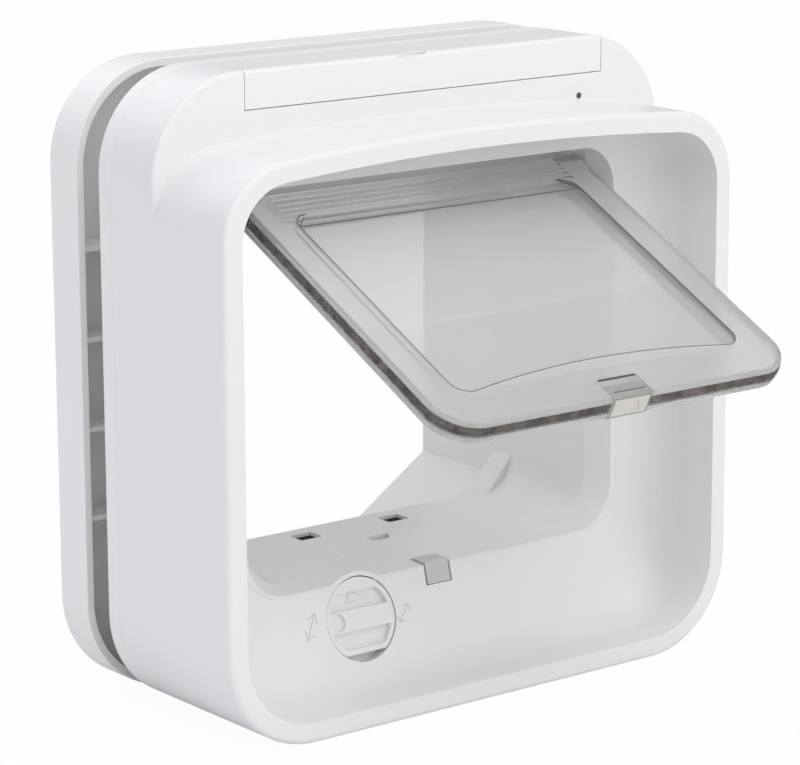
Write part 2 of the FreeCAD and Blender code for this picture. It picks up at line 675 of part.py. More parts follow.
def cavity(name, change, front):
    """Room inside the hood down to the fascia, grown by the change at its sides and back."""
    back = less("fascia_depth", change)
    bend = f"-sill_drop - ({change}) * tan(fascia_lean / 2)"
    foot = f"({back}) + (({bend}) - ({frame_low})) * tan(fascia_lean)"
    form = Moulding(name).pad(hood_outline(less("lip_width", change)), back, front)
    wedge = polygon((f"-({back})", bend), (f"-({back})", frame_low), (f"-({foot})", frame_low))
    form.pocket(wedge, "-frame_width / 2", "frame_width / 2", "YZ_Plane")
    bend_at, back_at, lean_at = amount(bend), amount(back), amount("tan(fascia_lean)")

    def on_fascia(edge):
        ends = [vertex.Point for vertex in edge.Vertexes]
        return all(abs(-end.y - back_at - max(bend_at - end.z, 0) * lean_at) < 0.01 for end in ends)

    return form.soften(grown("cove_radius", change), on_fascia)


def on_fascia_face(item):
    """Seats a piece whose depths are measured from the leaning fascia at the dial's middle."""
    depth = "fascia_depth + dial_down * sin(fascia_lean)"
    return lean(item, "-dial_left", depth, "-sill_drop - dial_down * cos(fascia_lean)", "fascia_lean")


def on_hinge(item):
    """Hangs a piece, drawn straight down from the hinge, at the angle of the open flap."""
    return lean(item, 0, "hinge_depth", "hinge_rise", "flap_angle")


def ring(name, outer, inner, back, front):
    return Moulding(name).pad(outer, back, front).pocket(inner, back, front)


# Housing: block, hood, fascia, liner and everything moulded with them
def housing_form():
    form = Moulding("HousingForm").pad(frame_outline(0), "plate_depth", "block_depth")
    form.soften("block_round", at_depth("block_depth"))
    form.soften("seam_round", at_depth("plate_depth"))
    form.pad(hood_outline(0), "plate_depth + 2 * seam_round", "hood_depth")
    return form.soften("hood_round", at_depth("hood_depth"))


def housing_hollow():
    hollow = Moulding("HousingHollow")
    hollow.pad(frame_outline("wall_thick"), "plate_depth - spare_cut", "block_depth - wall_thick")
    hollow.pad(hood_outline("wall_thick"), "plate_depth - spare_cut", "hood_depth - wall_thick")
    return cut("HousingRoom", hollow, [cavity("HousingLining", "wall_thick", "hood_depth")])


def housing_bosses(form):
    fixing = Moulding("FixingBosses").pad(discs(fixing_places, "fixing_boss"), "plate_depth", "boss_front")
    joint = Moulding("JointBosses").pad(discs(joint_places, "joint_boss"), "plate_depth", "boss_front")
    return common("HousingBosses", form, union("AllBosses", [fixing, joint]))


def under_floor():
    """Guide of the exit latch, seat of the floor magnet and posts of the sensor board."""
    guide = post("PortGuide", 0, "crest_depth", "port_radius + port_wall",
                 "-crest_drop - liner_wall - port_guide", "-crest_drop")
    half = box("PortGuideHalf", "-port_radius - port_wall", "port_radius + port_wall", "crest_depth",
               "crest_depth + port_radius + port_wall", "-frame_height / 2", 0)
    seat = box("KeeperSeat", "-keeper_half - keeper_wall", "keeper_half + keeper_wall",
               "keeper_back - keeper_wall", "keeper_front + keeper_wall", "-keeper_foot", "-sill_drop")
    posts = [post(f"SensorPost{number}", f"{side} * sensor_post", "-sensor_back", "board_post",
                  "-sensor_foot", "-crest_drop") for number, side in enumerate((-1, 1))]
    return [common("PortGuideShape", guide, half), seat] + posts


def housing_cuts():
    keeper = box("KeeperRoom", "-keeper_half - keeper_clear", "keeper_half + keeper_clear",
                 "keeper_back - keeper_clear", "keeper_front + keeper_clear",
                 "-keeper_foot - spare_cut", "-keeper_top + keeper_clear")
    port = post("PortHole", 0, "crest_depth", "port_radius", "-frame_height / 2", "-crest_drop + spare_cut")
    port_half = box("PortHalf", "-port_radius", "port_radius", "crest_depth",
                    "crest_depth + port_radius", "-frame_height / 2", 0)
    slot = box("LatchSlot", "-latch_width / 2 - latch_clear", "latch_width / 2 + latch_clear",
               "latch_back - latch_clear", "hood_depth", "-slot_drop", "-crest_drop")
    windows = [box(f"SensorHole{number}", f"{side} * sensor_across - sensor_width / 2",
                   f"{side} * sensor_across + sensor_width / 2", "-sensor_back - sensor_length / 2",
                   "-sensor_back + sensor_length / 2", "-sensor_foot", "-crest_drop + spare_cut")
               for number, side in enumerate((-1, 1))]
    cover = box("CoverRoom", "-cover_left - cover_clear", "cover_right + cover_clear",
                "cover_back - cover_clear", "block_depth + spare_cut",
                "frame_height / 2 - cover_drop - cover_clear", "frame_height / 2 + spare_cut")
    light = rod("LightHole", "light_across", "light_height", "light_radius", "plate_depth",
                "block_depth + spare_cut")
    hinge_end = "passage_width / 2 + liner_wall + hinge_seat + spare_cut"
    hinge = bar("HingeBore", f"-({hinge_end})", hinge_end, "hinge_depth", "hinge_rise",
                "hinge_radius + hinge_clear")
    bores = Moulding("FixingBores").pad(discs(fixing_places, "fixing_radius"), "0", "fixing_reach")
    bores.pad(discs(fixing_places, "insert_radius"), "0", "plate_depth + insert_length")
    joint_bores = Moulding("JointBores").pad(
        discs(joint_places, "joint_radius + joint_clear"), "0", "joint_reach + screw_spare")
    recess = on_fascia_face(Moulding("DialRecess").pad(
        disc(0, 0, "dial_radius + dial_clear"), "-dial_sink", "spare_cut").pad(
        disc(0, 0, "shaft_radius + shaft_clear"), "-dial_sink - cup_wall - spare_cut", "-dial_sink"))
    return [keeper, common("PortShape", port, port_half), slot, cover, light, hinge, bores,
            joint_bores, recess] + windows


def make_housing(form):
    shell = cut("HousingShell", form, [housing_hollow()])
    liner = passage("PassageLiner", "liner_wall")
    flange = Moulding("LinerFlange").pad(
        bevelled("-sleeve_wall - flange_clear"), "-liner_end", "-liner_end + flange_thick")
    hinge_end = "passage_width / 2 + liner_wall + hinge_seat"
    hinge_bosses = bar("HingeBosses", f"-({hinge_end})", hinge_end, "hinge_depth", "hinge_rise", "hinge_boss")
    panel_posts = [rod(f"PanelPost{number}", across, "panel_post", "board_post", "panel_depth",
                       "block_depth - wall_thick")
                   for number, across in enumerate(("panel_left + board_post", "panel_right - board_post"))]
    solid = union("HousingSolid", [shell, liner, flange, housing_bosses(form), hinge_bosses]
                  + panel_posts + under_floor())
    way = passage("PassageWay", 0)
    way.pad(passage_section("mouth", 0), "fascia_depth", "fascia_depth + spare_cut")
    way.pad(passage_section("end", 0), "-liner_end - spare_cut", "-liner_end")
    opened = cut("HousingOpened", solid, [cavity("HoodCavity", 0, "hood_depth + spare_cut"), way])
    cup = on_fascia_face(Moulding("DialCup").pad(
        disc(0, 0, "dial_radius + dial_clear + cup_wall"), "-dial_sink - cup_wall", "0"))
    keep("housing", cut("HousingPiece", union("HousingCupped", [opened, cup]), housing_cuts()))


def make_battery_cover(form):
    room = box("CoverBox", "-cover_left", "cover_right", "cover_back", "block_depth",
               "frame_height / 2 - cover_drop", "frame_height / 2")
    inside = Moulding("CoverInside").pad(
        frame_outline("cover_thick"), "plate_depth", "block_depth - cover_thick")
    keep("battery_cover", cut("CoverPiece", common("CoverForm", form, room), [inside]))


# Batteries: two rows of two cells, one row above the other, in an open tray
tray_half = "cell_length + button_height + contact_thick + cell_clear + tray_wall"
tray_front = "block_depth - wall_thick - cell_clear"
cell_depth = f"({tray_front}) - tray_wall - cell_clear - cell_radius"
tray_back = f"({cell_depth}) - cell_radius - cell_clear - tray_wall"
tray_foot = "passage_top + liner_wall"
cell_rows = [f"{tray_foot} + tray_wall + cell_clear + cell_radius",
             f"{tray_foot} + tray_wall + 2 * cell_clear + 3 * cell_radius"]


def make_batteries():
    outside = box("TrayOutside", f"-({tray_half})", tray_half, tray_back, tray_front,
                  tray_foot, f"{tray_foot} + tray_rise")
    inside = box("TrayInside", f"-({tray_half}) + tray_wall", f"({tray_half}) - tray_wall",
                 f"({tray_back}) + tray_wall", f"({tray_front}) - tray_wall",
                 f"{tray_foot} + tray_wall", f"{tray_foot} + tray_rise + spare_cut")
    keep("battery_tray", cut("TrayPiece", outside, [inside]))
    number = 0
    for up in cell_rows:
        for start in ("-cell_length - button_height", "0"):
            number += 1
            can = bar(f"CellCan{number}", start, f"{start} + cell_length", cell_depth, up, "cell_radius")
            button = bar(f"CellButton{number}", f"{start} + cell_length",
                         f"{start} + cell_length + button_height", cell_depth, up, "button_radius")
            keep(f"battery_{number}", union(f"CellPiece{number}", [can, button]))
    inner = f"({tray_half}) - tray_wall"
    plates = []
    for side in (-1, 1):
        ends = sorted((f"{side} * ({inner})", f"{side} * (({inner}) - contact_thick)"), key=amount)
        plates.append(box(f"ContactPlate{side + 1}", *ends, f"({cell_depth}) - contact_width / 2",
                          f"({cell_depth}) + contact_width / 2", f"{cell_rows[0]} - contact_width / 2",
                          f"{cell_rows[1]} + contact_width / 2"))
    keep("battery_contacts", union("ContactPiece", plates))


# Boards
def make_boards():
    main = box("MainBoard", "board_left", "board_right", "plate_depth", "plate_depth + board_thick",
               "-board_foot", "-board_top")
    keep("circuit_board", main)
    back, foot = "plate_depth + board_thick", "-board_foot + part_gap"
    chip = "board_left + part_gap"
    relay = f"{chip} + chip_side + part_gap"
    socket = f"{relay} + relay_width + part_gap"
    small = "-board_top - part_gap"
    parts = [
        box("BoardChip", chip, f"{chip} + chip_side", back, f"{back} + chip_height", foot,
            f"{foot} + chip_side"),
        box("BoardRelay", relay, f"{relay} + relay_width", back, f"{back} + relay_height", foot,
            f"{foot} + relay_side"),
        box("BoardSocket", socket, f"{socket} + socket_width", back, f"{back} + socket_height", foot,
            f"{foot} + socket_side"),
        rod("BoardCapacitor", f"{relay} + relay_width / 2", small, "can_radius", back, f"{back} + can_height"),
        rod("BoardCrystal", f"{chip} + chip_side / 2", small, "crystal_radius", back,
            f"{back} + crystal_height"),
    ]
    keep("board_components", union("ComponentPiece", parts))
    panel = box("IndicatorBoard", "panel_left", "panel_right", "panel_depth - board_thick", "panel_depth",
                "panel_foot", "panel_top")
    switch = box("SwitchBody", "switch_across - switch_side / 2", "switch_across + switch_side / 2",
                 "panel_depth", "panel_depth + switch_side", "switch_foot", "panel_top")
    middle = "panel_depth + switch_side / 2"
    bore = post("SwitchBore", "switch_across", middle, "switch_stem + switch_clear",
                "panel_top - switch_sink - 2 * switch_travel", "panel_top + spare_cut")
    keep("indicator_board", cut("IndicatorPiece", union("IndicatorSolid", [panel, switch]), [bore]))
    stem = post("ButtonStem", "switch_across", middle, "switch_stem", "panel_top - switch_sink",
                "panel_top + switch_travel")
    head = post("ButtonHead", "switch_across", middle, "switch_radius", "panel_top + switch_travel",
                "panel_top + switch_travel + switch_height")
    keep("learn_button", union("ButtonPiece", [stem, head]))
    keep("status_light", rod("LightPipe", "light_across", "light_height", "light_radius - light_clear",
                             "panel_depth", "block_depth"))


def make_coil():
    outer, inner = "liner_wall + coil_clear + coil_thick", "liner_wall + coil_clear"
    keep("aerial_coil", ring("CoilPiece", passage_section("crest", outer),
                             passage_section("crest", inner), "coil_back", "coil_front"))


def make_sensors():
    blocks = [box(f"SensorWindow{number}", f"{side} * sensor_across - sensor_width / 2 + sensor_clear",
                  f"{side} * sensor_across + sensor_width / 2 - sensor_clear",
                  "-sensor_back - sensor_length / 2 + sensor_clear",
                  "-sensor_back + sensor_length / 2 - sensor_clear", "-sensor_foot",
                  "-crest_drop - sensor_sink") for number, side in enumerate((-1, 1))]
    keep("sensor_windows", union("SensorPiece", blocks))
    keep("sensor_board", box("SensorBoard", "-sensor_half", "sensor_half",
                             "-sensor_back - sensor_length / 2", "-sensor_back + sensor_length / 2",
                             "-sensor_foot - board_thick", "-sensor_foot"))


# Plate and tunnel sleeve
def make_rear_frame():
    plate = Moulding("RearPlate").pad(frame_outline(0), "0", "plate_depth")
    plate.soften("seam_round", at_depth("plate_depth"))
    plate.pocket(frame_outline("plate_wall"), "plate_skin", "plate_depth")
    bosses = Moulding("RearBosses").pad(discs(fixing_places, "fixing_boss"), "0", "plate_depth")
    joint_bosses = Moulding("RearJointBosses").pad(discs(joint_places, "joint_boss"), "0", "plate_depth")
    sleeve = Moulding("Sleeve").pad(bevelled(0), "-sleeve_length", "plate_skin")
    board_posts = [rod(f"BoardPost{number}", across, "-(board_top + board_foot) / 2", "board_post",
                       "0", "plate_depth")
                   for number, across in enumerate(("board_left + part_gap", "board_right - part_gap"))]
    guide_posts = [rod(f"GuidePost{number}", across, "-guide_foot + guide_post", "guide_post", "0",
                       "guide_back")
                   for number, across in enumerate(("-guide_post_left", "guide_post_right"))]
    solid = union("RearSolid", [plate, bosses, joint_bosses, sleeve] + board_posts + guide_posts)
    opening = Moulding("SleeveRoom").pad(
        bevelled("-sleeve_wall"), "-sleeve_length - spare_cut", "plate_skin + spare_cut")
    bores = Moulding("RearBores").pad(
        discs(fixing_places, "fixing_radius"), "-spare_cut", "plate_depth + spare_cut")
    joint_bores = Moulding("RearJointBores").pad(
        discs(joint_places, "joint_radius + joint_clear"), "-spare_cut", "plate_depth + spare_cut")
    heads = Moulding("RearHeads").pad(
        discs(joint_places, "joint_head + joint_room"), "-spare_cut", "joint_head_height + joint_room")
    keep("rear_frame", cut("RearPiece", solid, [opening, bores, joint_bores, heads]))


def make_outer_frame():
    back, front = "-door_gap - outer_depth", "-door_gap"
    form = Moulding("OuterForm").pad(frame_outline(0), back, front)
    form.soften("outer_round", at_depth(back))
    form.soften("seam_round", at_depth(front))
    form.pocket(frame_outline("outer_wall"), f"{back} + outer_wall", front)
    collar = Moulding("OuterCollar").pad(bevelled("outer_clear + collar_wall"), back, front)
    bosses = Moulding("OuterBosses").pad(
        discs(fixing_places, "head_room + head_wall"), f"{back} + outer_wall / 2", front)
    ribs = []
    for number in range(int(amount("rib_count"))):
        for side in (-1, 1):
            inner, outer = f"{side} * sleeve_width / 2", f"{side} * (frame_width / 2 - outer_wall / 2)"
            up = f"-rib_start + {number} * rib_pitch"
            ends = (inner, outer) if side > 0 else (outer, inner)
            ribs.append(box(f"OuterRib{number}{side + 1}", *ends, f"{back} + outer_wall / 2",
                            f"{back} + outer_wall + rib_depth", f"{up} - rib_thick / 2",
                            f"{up} + rib_thick / 2"))
    opening = Moulding("OuterOpening").pad(
        bevelled("outer_clear"), f"{back} - spare_cut", f"{front} + spare_cut")
    bores = Moulding("OuterBores").pad(discs(fixing_places, "fixing_radius"), back, f"{front} + spare_cut")
    heads = Moulding("OuterHeads").pad(
        discs(fixing_places, "head_room"), f"{back} - spare_cut", f"{back} + head_sink")
    solid = union("OuterSolid", [form, collar, bosses] + ribs)
    keep("outer_frame", cut("OuterPiece", solid, [opening, bores, heads]))


# Screws that hold the plate on the housing, and threaded inserts for the screws through the door
def make_screws():
    seat = "joint_head_height + joint_room"
    screws = Moulding("housing_screws").pad(discs(joint_places, "joint_radius"), seat, "joint_reach")
    screws.pad(discs(joint_places, "joint_head"), f"({seat}) - joint_head_height", seat)
    keep("housing_screws", screws)
    inserts = Moulding("screw_inserts").pad(
        discs(fixing_places, "insert_radius"), "plate_depth", "plate_depth + insert_length")
    inserts.pocket(discs(fixing_places, "insert_bore"), "plate_depth", "plate_depth + insert_length")
    keep("screw_inserts", inserts)


# Flap, drawn hanging straight down with the hinge as its origin
holder_half = "magnet_width / 2 + holder_wall"
holder_high = "-flap_drop + magnet_height + holder_top"


def brush_band(name, change):
    """Band along the flap's sides and foot, from the groove's floor to the change outside the edge."""
    def outline(out, top):
        half, foot, corner = grown("flap_width / 2", out), less("-flap_drop", out), grown("flap_low", out)
        return rounded(half, foot, top, corner, "brush_end")

    band = Moulding(name).pad(outline(change, "-brush_start"), "-brush_width / 2", "brush_width / 2")
    return band.pocket(outline("-brush_sink", "spare_cut"), "-brush_width / 2", "brush_width / 2")


def make_flap():
    panel = Moulding("FlapPanel").pad(
        rounded("flap_width / 2", "-flap_drop", "flap_head", "flap_low", "flap_high"),
        "-flap_thick / 2", "flap_thick / 2")
    face = at_depth("flap_thick / 2")
    rear = at_depth("-flap_thick / 2")
    panel.soften("flap_round", lambda edge: face(edge) or rear(edge))
    window = arched_window("window_width / 2", "-flap_drop + window_low", "window_arch",
                           "-window_top", "window_corner")
    panel.pocket(window, "flap_thick / 2 - window_sink", "flap_thick / 2")
    rear_window = Moulding("RearWindow").pad(window, "-flap_thick / 2 - spare_cut",
                                             "-flap_thick / 2 + window_sink")
    flutes = []
    for number in range(int(amount("flute_count"))):
        up = f"flap_head - 2 * flute_pitch - {number} * flute_pitch"
        for side, (back, front) in enumerate((
                ("flap_thick / 2 - flute_sink", "flap_thick / 2 + spare_cut"),
                ("-flap_thick / 2 - spare_cut", "-flap_thick / 2 + flute_sink"))):
            flutes.append(box(f"Flute{number}{side}", "-flute_half", "flute_half", back, front,
                              f"{up} - flute_width / 2", f"{up} + flute_width / 2"))
    notch = box("HolderNotch", f"-({holder_half}) - holder_clear", f"{holder_half} + holder_clear",
                "-flap_thick", "flap_thick", "-flap_drop - spare_cut", f"{holder_high} + holder_clear")
    pins = bar("PinRoom", "-flap_width", "flap_width", 0, 0, "hinge_radius")
    core = bar("PinCore", "-flap_width / 2 + hinge_inside", "flap_width / 2 - hinge_inside", 0, 0,
               "2 * hinge_radius")
    bores = cut("PinBores", pins, [core])
    groove = brush_band("BrushGroove", "spare_cut")
    keep("flap_panel", on_hinge(cut("FlapPiece", panel, [rear_window, groove, notch, bores] + flutes)))


def make_flap_trim():
    near, far = f"{holder_half} + 2 * holder_clear", "flap_width / 2 + spare_cut"
    for label, ends in (("left", (f"-({far})", f"-({near})")), ("right", (near, far))):
        half = box(f"BrushHalf{label}", *ends, "-brush_width", "brush_width", "-flap_drop - spare_cut", 0)
        band = brush_band(f"BrushBand{label}", "brush_proud")
        keep(f"brush_{label}", on_hinge(common(f"BrushPiece{label}", band, half)))
    magnet_top = "-flap_drop + magnet_height"
    holder = box("HolderBlock", f"-({holder_half})", holder_half, "-flap_thick / 2", "flap_thick / 2",
                 "-flap_drop", holder_high)
    room = box("HolderRoom", "-magnet_width / 2", "magnet_width / 2", "-magnet_thick / 2",
               "magnet_thick / 2", "-flap_drop - spare_cut", magnet_top)
    keep("magnet_holder", on_hinge(cut("HolderPiece", holder, [room])))
    magnet = Moulding("magnet").pad(
        rectangle("-magnet_width / 2", "magnet_width / 2", "-flap_drop", magnet_top),
        "-magnet_thick / 2", "magnet_thick / 2")
    keep("magnet", on_hinge(magnet))
    inner, outer = "flap_width / 2 - hinge_inside", "passage_width / 2 + liner_wall + hinge_seat"
    pins = [bar("HingePinLeft", f"-({outer})", f"-({inner})", 0, 0, "hinge_radius"),
            bar("HingePinRight", inner, outer, 0, 0, "hinge_radius")]
    keep("hinge_pins", on_hinge(union("PinPiece", pins)))


# Lock dial, drawn upright with depths from the fascia at its middle
def slice_of(radius, low, high):
    """Part of a disc between two level lines."""
    def draw(sketch):
        size, foot, head = amount(radius), amount(low), amount(high)
        foot_turn, head_turn = math.asin(foot / size), math.asin(head / size)
        foot_half, head_half = size * math.cos(foot_turn), size * math.cos(head_turn)
        centre = Vector()
        sketch.addGeometry(Part.LineSegment(Vector(-foot_half, foot, 0), Vector(foot_half, foot, 0)))
        sketch.addGeometry(arc_of(centre, size, foot_turn, head_turn))
        sketch.addGeometry(Part.LineSegment(Vector(head_half, head, 0), Vector(-head_half, head, 0)))
        sketch.addGeometry(arc_of(centre, size, math.pi - head_turn, math.pi - foot_turn))
        for item in range(4):
            sketch.addConstraint(Sketcher.Constraint("Coincident", item, 2, (item + 1) % 4, 1))
        for item in (1, 3):
            sketch.addConstraint(Sketcher.Constraint("Coincident", item, 3, -1, 1))
            fix_size(sketch, "Radius", (item,), radius)
        for item, up in ((0, low), (2, high)):
            sketch.addConstraint(Sketcher.Constraint("Horizontal", item))
            fix_size(sketch, "DistanceY", (-1, 1, item, 1), up)
    return draw


def make_dial():
    back = "-dial_sink + dial_clear"
    dial = Moulding("lock_dial").pad(disc(0, 0, "dial_radius"), back, "-dial_face")
    dial.pad(disc(0, 0, "shaft_radius"), f"{back} - shaft_length", back)
    dial.pocket(rectangle("-dial_radius", "dial_radius", "-dial_radius - spare_cut", "-dial_flat"),
                back, "-dial_face")
    floor = "-dial_face - dial_hollow"
    dial.pocket(slice_of("dial_radius - dial_rim", "dial_grip / 2", "dial_end"), floor, "-dial_face")
    dial.pocket(slice_of("dial_radius - dial_rim", "-dial_end", "-dial_grip / 2"), floor, "-dial_face")
    dial.pocket(disc("-thumb_left", 0, "thumb_radius"), "-dial_face - thumb_sink", "-dial_face")
    keep("lock_dial", on_fascia_face(dial))
    front = "-dial_sink - cup_wall - cam_gap"
    cam = Moulding("dial_cam").pad(disc(0, 0, "cam_radius"), f"{front} - cam_thick", front)
    lobe = polygon(("-cam_root", "cam_root"), ("cam_root", "cam_root"), ("cam_tip", "cam_lobe"),
                   ("-cam_tip", "cam_lobe"))
    cam.pad(lobe, f"{front} - cam_thick", front)
    cam.pocket(disc(0, 0, "shaft_radius"), f"{front} - cam_thick", front)
    keep("dial_cam", on_fascia_face(cam))
    clip = ring("dial_clip", disc(0, 0, "clip_radius"), disc(0, 0, "shaft_radius"),
                f"{front} - cam_thick - clip_thick", f"{front} - cam_thick")
    keep("dial_clip", on_fascia_face(clip))


# Entry latch: a rack on its stem meshes with a pinion on the motor
def make_entry_latch():
    lean_front = "fascia_depth + (latch_rise - sill_drop) * tan(fascia_lean)"
    low_front = "fascia_depth + (slot_drop - slot_seat - sill_drop) * tan(fascia_lean)"
    profile = polygon(
        ("-stem_back", "-latch_foot"), ("-stem_front", "-latch_foot"),
        ("-stem_front", "-slot_drop + slot_seat"), (f"-({low_front})", "-slot_drop + slot_seat"),
        (f"-({lean_front})", "-latch_rise"), ("-latch_back", "-latch_rise"),
        ("-latch_back", "-latch_step"), ("-stem_back", "-latch_step"))
    latch = Moulding("entry_latch").pad(profile, "-latch_width / 2", "latch_width / 2", "YZ_Plane")
    root = "latch_width / 2 - (tooth_head + tooth_foot) * tooth_module"
    middle = "-motor_drop - rack_below * pi * tooth_module"
    narrow = "(pi / 4 - tooth_foot * tan(tooth_lean)) * tooth_module"
    wide = "(pi / 4 + tooth_head * tan(tooth_lean)) * tooth_module"
    gap = polygon((root, f"{middle} - {narrow}"), ("latch_width / 2", f"{middle} - {wide}"),
                  ("latch_width / 2", f"{middle} + {wide}"), (root, f"{middle} + {narrow}"))
    latch.pocket(gap, "stem_back", "stem_front")
    latch.repeat("LinearPattern", "V_Axis", "rack_count", "(rack_count - 1) * pi * tooth_module")
    keep("entry_latch", latch)


pitch_radius = "tooth_count * tooth_module / 2"
gear_across = f"latch_width / 2 - tooth_head * tooth_module + tooth_play + {pitch_radius}"


def flank(radius):
    """Point of an involute flank beside a gap that opens to the left."""
    base = f"{pitch_radius} * cos(tooth_lean)"
    steep = f"acos(min(1; {base} / ({radius})))"
    wrap = f"(tan({steep}) - tan(tooth_lean)) * 180 / pi - {steep} / 1 deg + tooth_lean"
    turn = f"90 / tooth_count + {wrap}"
    return f"-({radius}) * cos({turn})", f"({radius}) * sin({turn})"


def make_pinion():
    outer = f"{pitch_radius} + tooth_head * tooth_module"
    root = f"{pitch_radius} - tooth_foot * tooth_module"
    gear = Moulding("latch_pinion").pad(disc(0, 0, outer), "gear_back", "gear_front")
    steps = [flank(radius) for radius in (
        root, f"{root} + tooth_foot * tooth_module / 2", pitch_radius,
        f"{pitch_radius} + tooth_head * tooth_module / 2", outer, f"{outer} + tooth_head * tooth_module / 2")]
    gap = polygon(*[(across, f"-({up})") for across, up in reversed(steps)], *steps)
    gear.pocket(gap, "gear_back", "gear_front")
    gear.repeat("PolarPattern", "N_Axis", "tooth_count", "360")
    gear.pad(disc(0, 0, "motor_shaft"), "guide_back - motor_bore", "gear_back")
    gear.body.Placement = Placement(Vector(), Rotation())
    bind(gear.body, ".Placement.Base.x", gear_across)
    bind(gear.body, ".Placement.Base.z", "-motor_drop")
    keep("latch_pinion", gear)


def make_motor_and_guide():
    can = rod("MotorCan", gear_across, "-motor_drop", "motor_radius", "motor_back", "guide_back")
    bore = rod("MotorBore", gear_across, "-motor_drop", "motor_shaft + motor_clear",
               "guide_back - motor_bore - motor_clear", "guide_back + spare_cut")
    keep("latch_motor", cut("MotorPiece", can, [bore]))
    near = "latch_width / 2 + guide_clear"
    plate_front = "guide_back + guide_thick"
    left = f"-({near}) - guide_rail"
    plate = box("GuidePlate", left, "guide_right", "guide_back", plate_front, "-guide_foot", "-guide_top")
    rails = [box("GuideLeftRail", left, f"-({near})", plate_front, "guide_front", "-guide_foot",
                 "-guide_top"),
             box("GuideRightRail", near, f"{near} + guide_rail", plate_front, "guide_front",
                 "-motor_drop + motor_radius + spare_cut", "-guide_top")]
    shaft = rod("GuideBore", gear_across, "-motor_drop", "motor_shaft + motor_clear",
                "guide_back - spare_cut", "guide_front")
    keep("latch_guide", cut("GuidePiece", union("GuideSolid", [plate] + rails), [shaft]))


# Exit latch: a half-round pin in the floor, its bar and the arm towards the dial
def make_exit_latch():
    back = "crest_depth + pin_clear"
    front = "crest_depth + port_radius - pin_clear"
    pin = post("ExitPin", 0, "crest_depth", "port_radius - pin_clear", "-bar_foot", "-crest_drop - pin_sink")
    half = box("ExitHalf", "-port_radius", "port_radius", back, "crest_depth + port_radius",
               "-bar_foot", "-crest_drop")
    bar_piece = box("ExitBar", "-dial_left - arm_width / 2", "port_radius - pin_clear", back, front,
                    "-bar_foot", "-bar_foot + bar_thick")
    arm = box("ExitArm", "-dial_left - arm_width / 2", "-dial_left + arm_width / 2", back, "arm_front",
              "-bar_foot", "-bar_foot + bar_thick")
    keep("exit_latch", union("ExitPiece", [common("ExitPinShape", pin, half), bar_piece, arm]))


def make_floor_magnet():
    keep("floor_magnet", box("FloorMagnet", "-keeper_half", "keeper_half", "keeper_back", "keeper_front",
                             "-keeper_foot", "-keeper_top"))


form = housing_form()
make_housing(form)
make_battery_cover(form)
make_batteries()
make_boards()
make_coil()
make_sensors()
make_rear_frame()
make_outer_frame()
make_screws()
make_flap()
make_flap_trim()
make_dial()
make_entry_latch()
make_pinion()
make_motor_and_guide()
make_exit_latch()
make_floor_magnet()
doc.recompute()

faults = [f"{item.Label}: {item.State}" for item in doc.Objects
          if {"Invalid", "Error"} & set(item.State)]
for label, item in pieces.items():
    if item.Shape.isNull() or not item.Shape.isValid():
        faults.append(f"{label} has no valid shape")
if faults:
    raise RuntimeError("; ".join(faults))

os.makedirs("parts", exist_ok=True)
for label, item in pieces.items():
    item.Shape.exportStep(f"parts/{label}.step")
    bounds = item.Shape.BoundBox
    print(f"{label}: {len(item.Shape.Solids)} solid(s), {item.Shape.Volume / 1000:.2f} cm3, "
          f"{bounds.XLength:.1f} x {bounds.YLength:.1f} x {bounds.ZLength:.1f} mm")
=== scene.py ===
import math
import random

import bmesh
import bpy
from mathutils import Matrix, Vector


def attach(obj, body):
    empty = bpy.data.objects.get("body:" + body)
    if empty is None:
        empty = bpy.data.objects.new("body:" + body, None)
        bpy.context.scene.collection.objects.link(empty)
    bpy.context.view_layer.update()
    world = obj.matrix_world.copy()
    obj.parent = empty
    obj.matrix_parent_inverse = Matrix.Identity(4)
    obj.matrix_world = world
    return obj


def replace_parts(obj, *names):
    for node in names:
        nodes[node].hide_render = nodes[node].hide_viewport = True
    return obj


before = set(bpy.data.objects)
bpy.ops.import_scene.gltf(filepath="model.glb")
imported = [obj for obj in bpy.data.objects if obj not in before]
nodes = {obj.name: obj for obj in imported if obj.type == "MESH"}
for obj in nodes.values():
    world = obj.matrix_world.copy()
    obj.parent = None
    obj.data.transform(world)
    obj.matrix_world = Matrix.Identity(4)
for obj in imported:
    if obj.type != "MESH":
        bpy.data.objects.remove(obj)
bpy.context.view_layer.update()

mm = 0.001

for name in ("Cube", "Light", "Camera"):  # what a new file starts with
    if name in bpy.data.objects:
        bpy.data.objects.remove(bpy.data.objects[name])
print("frame:", len(nodes), "nodes")


# Shader maths
class Tap:
    def __init__(self, finish, socket):
        self.finish = finish
        self.socket = socket

    def join(self, operation, one, two):
        return self.finish.add("ShaderNodeMath", {"operation": operation}, {0: one, 1: two})

    def __add__(self, other):
        return self.join("ADD", self, other)

    def __radd__(self, other):
        return self.join("ADD", other, self)

    def __sub__(self, other):
        return self.join("SUBTRACT", self, other)

    def __rsub__(self, other):
        return self.join("SUBTRACT", other, self)

    def __mul__(self, other):
        return self.join("MULTIPLY", self, other)

    def __rmul__(self, other):
        return self.join("MULTIPLY", other, self)

    def __truediv__(self, other):
        return self.join("DIVIDE", self, other)

    def __mod__(self, other):
        return self.join("FLOORED_MODULO", self, other)

    def __gt__(self, other):
        return self.join("GREATER_THAN", self, other)

    def __lt__(self, other):
        return self.join("LESS_THAN", self, other)

    def __abs__(self):
        return self.finish.add("ShaderNodeMath", {"operation": "ABSOLUTE"}, {0: self})


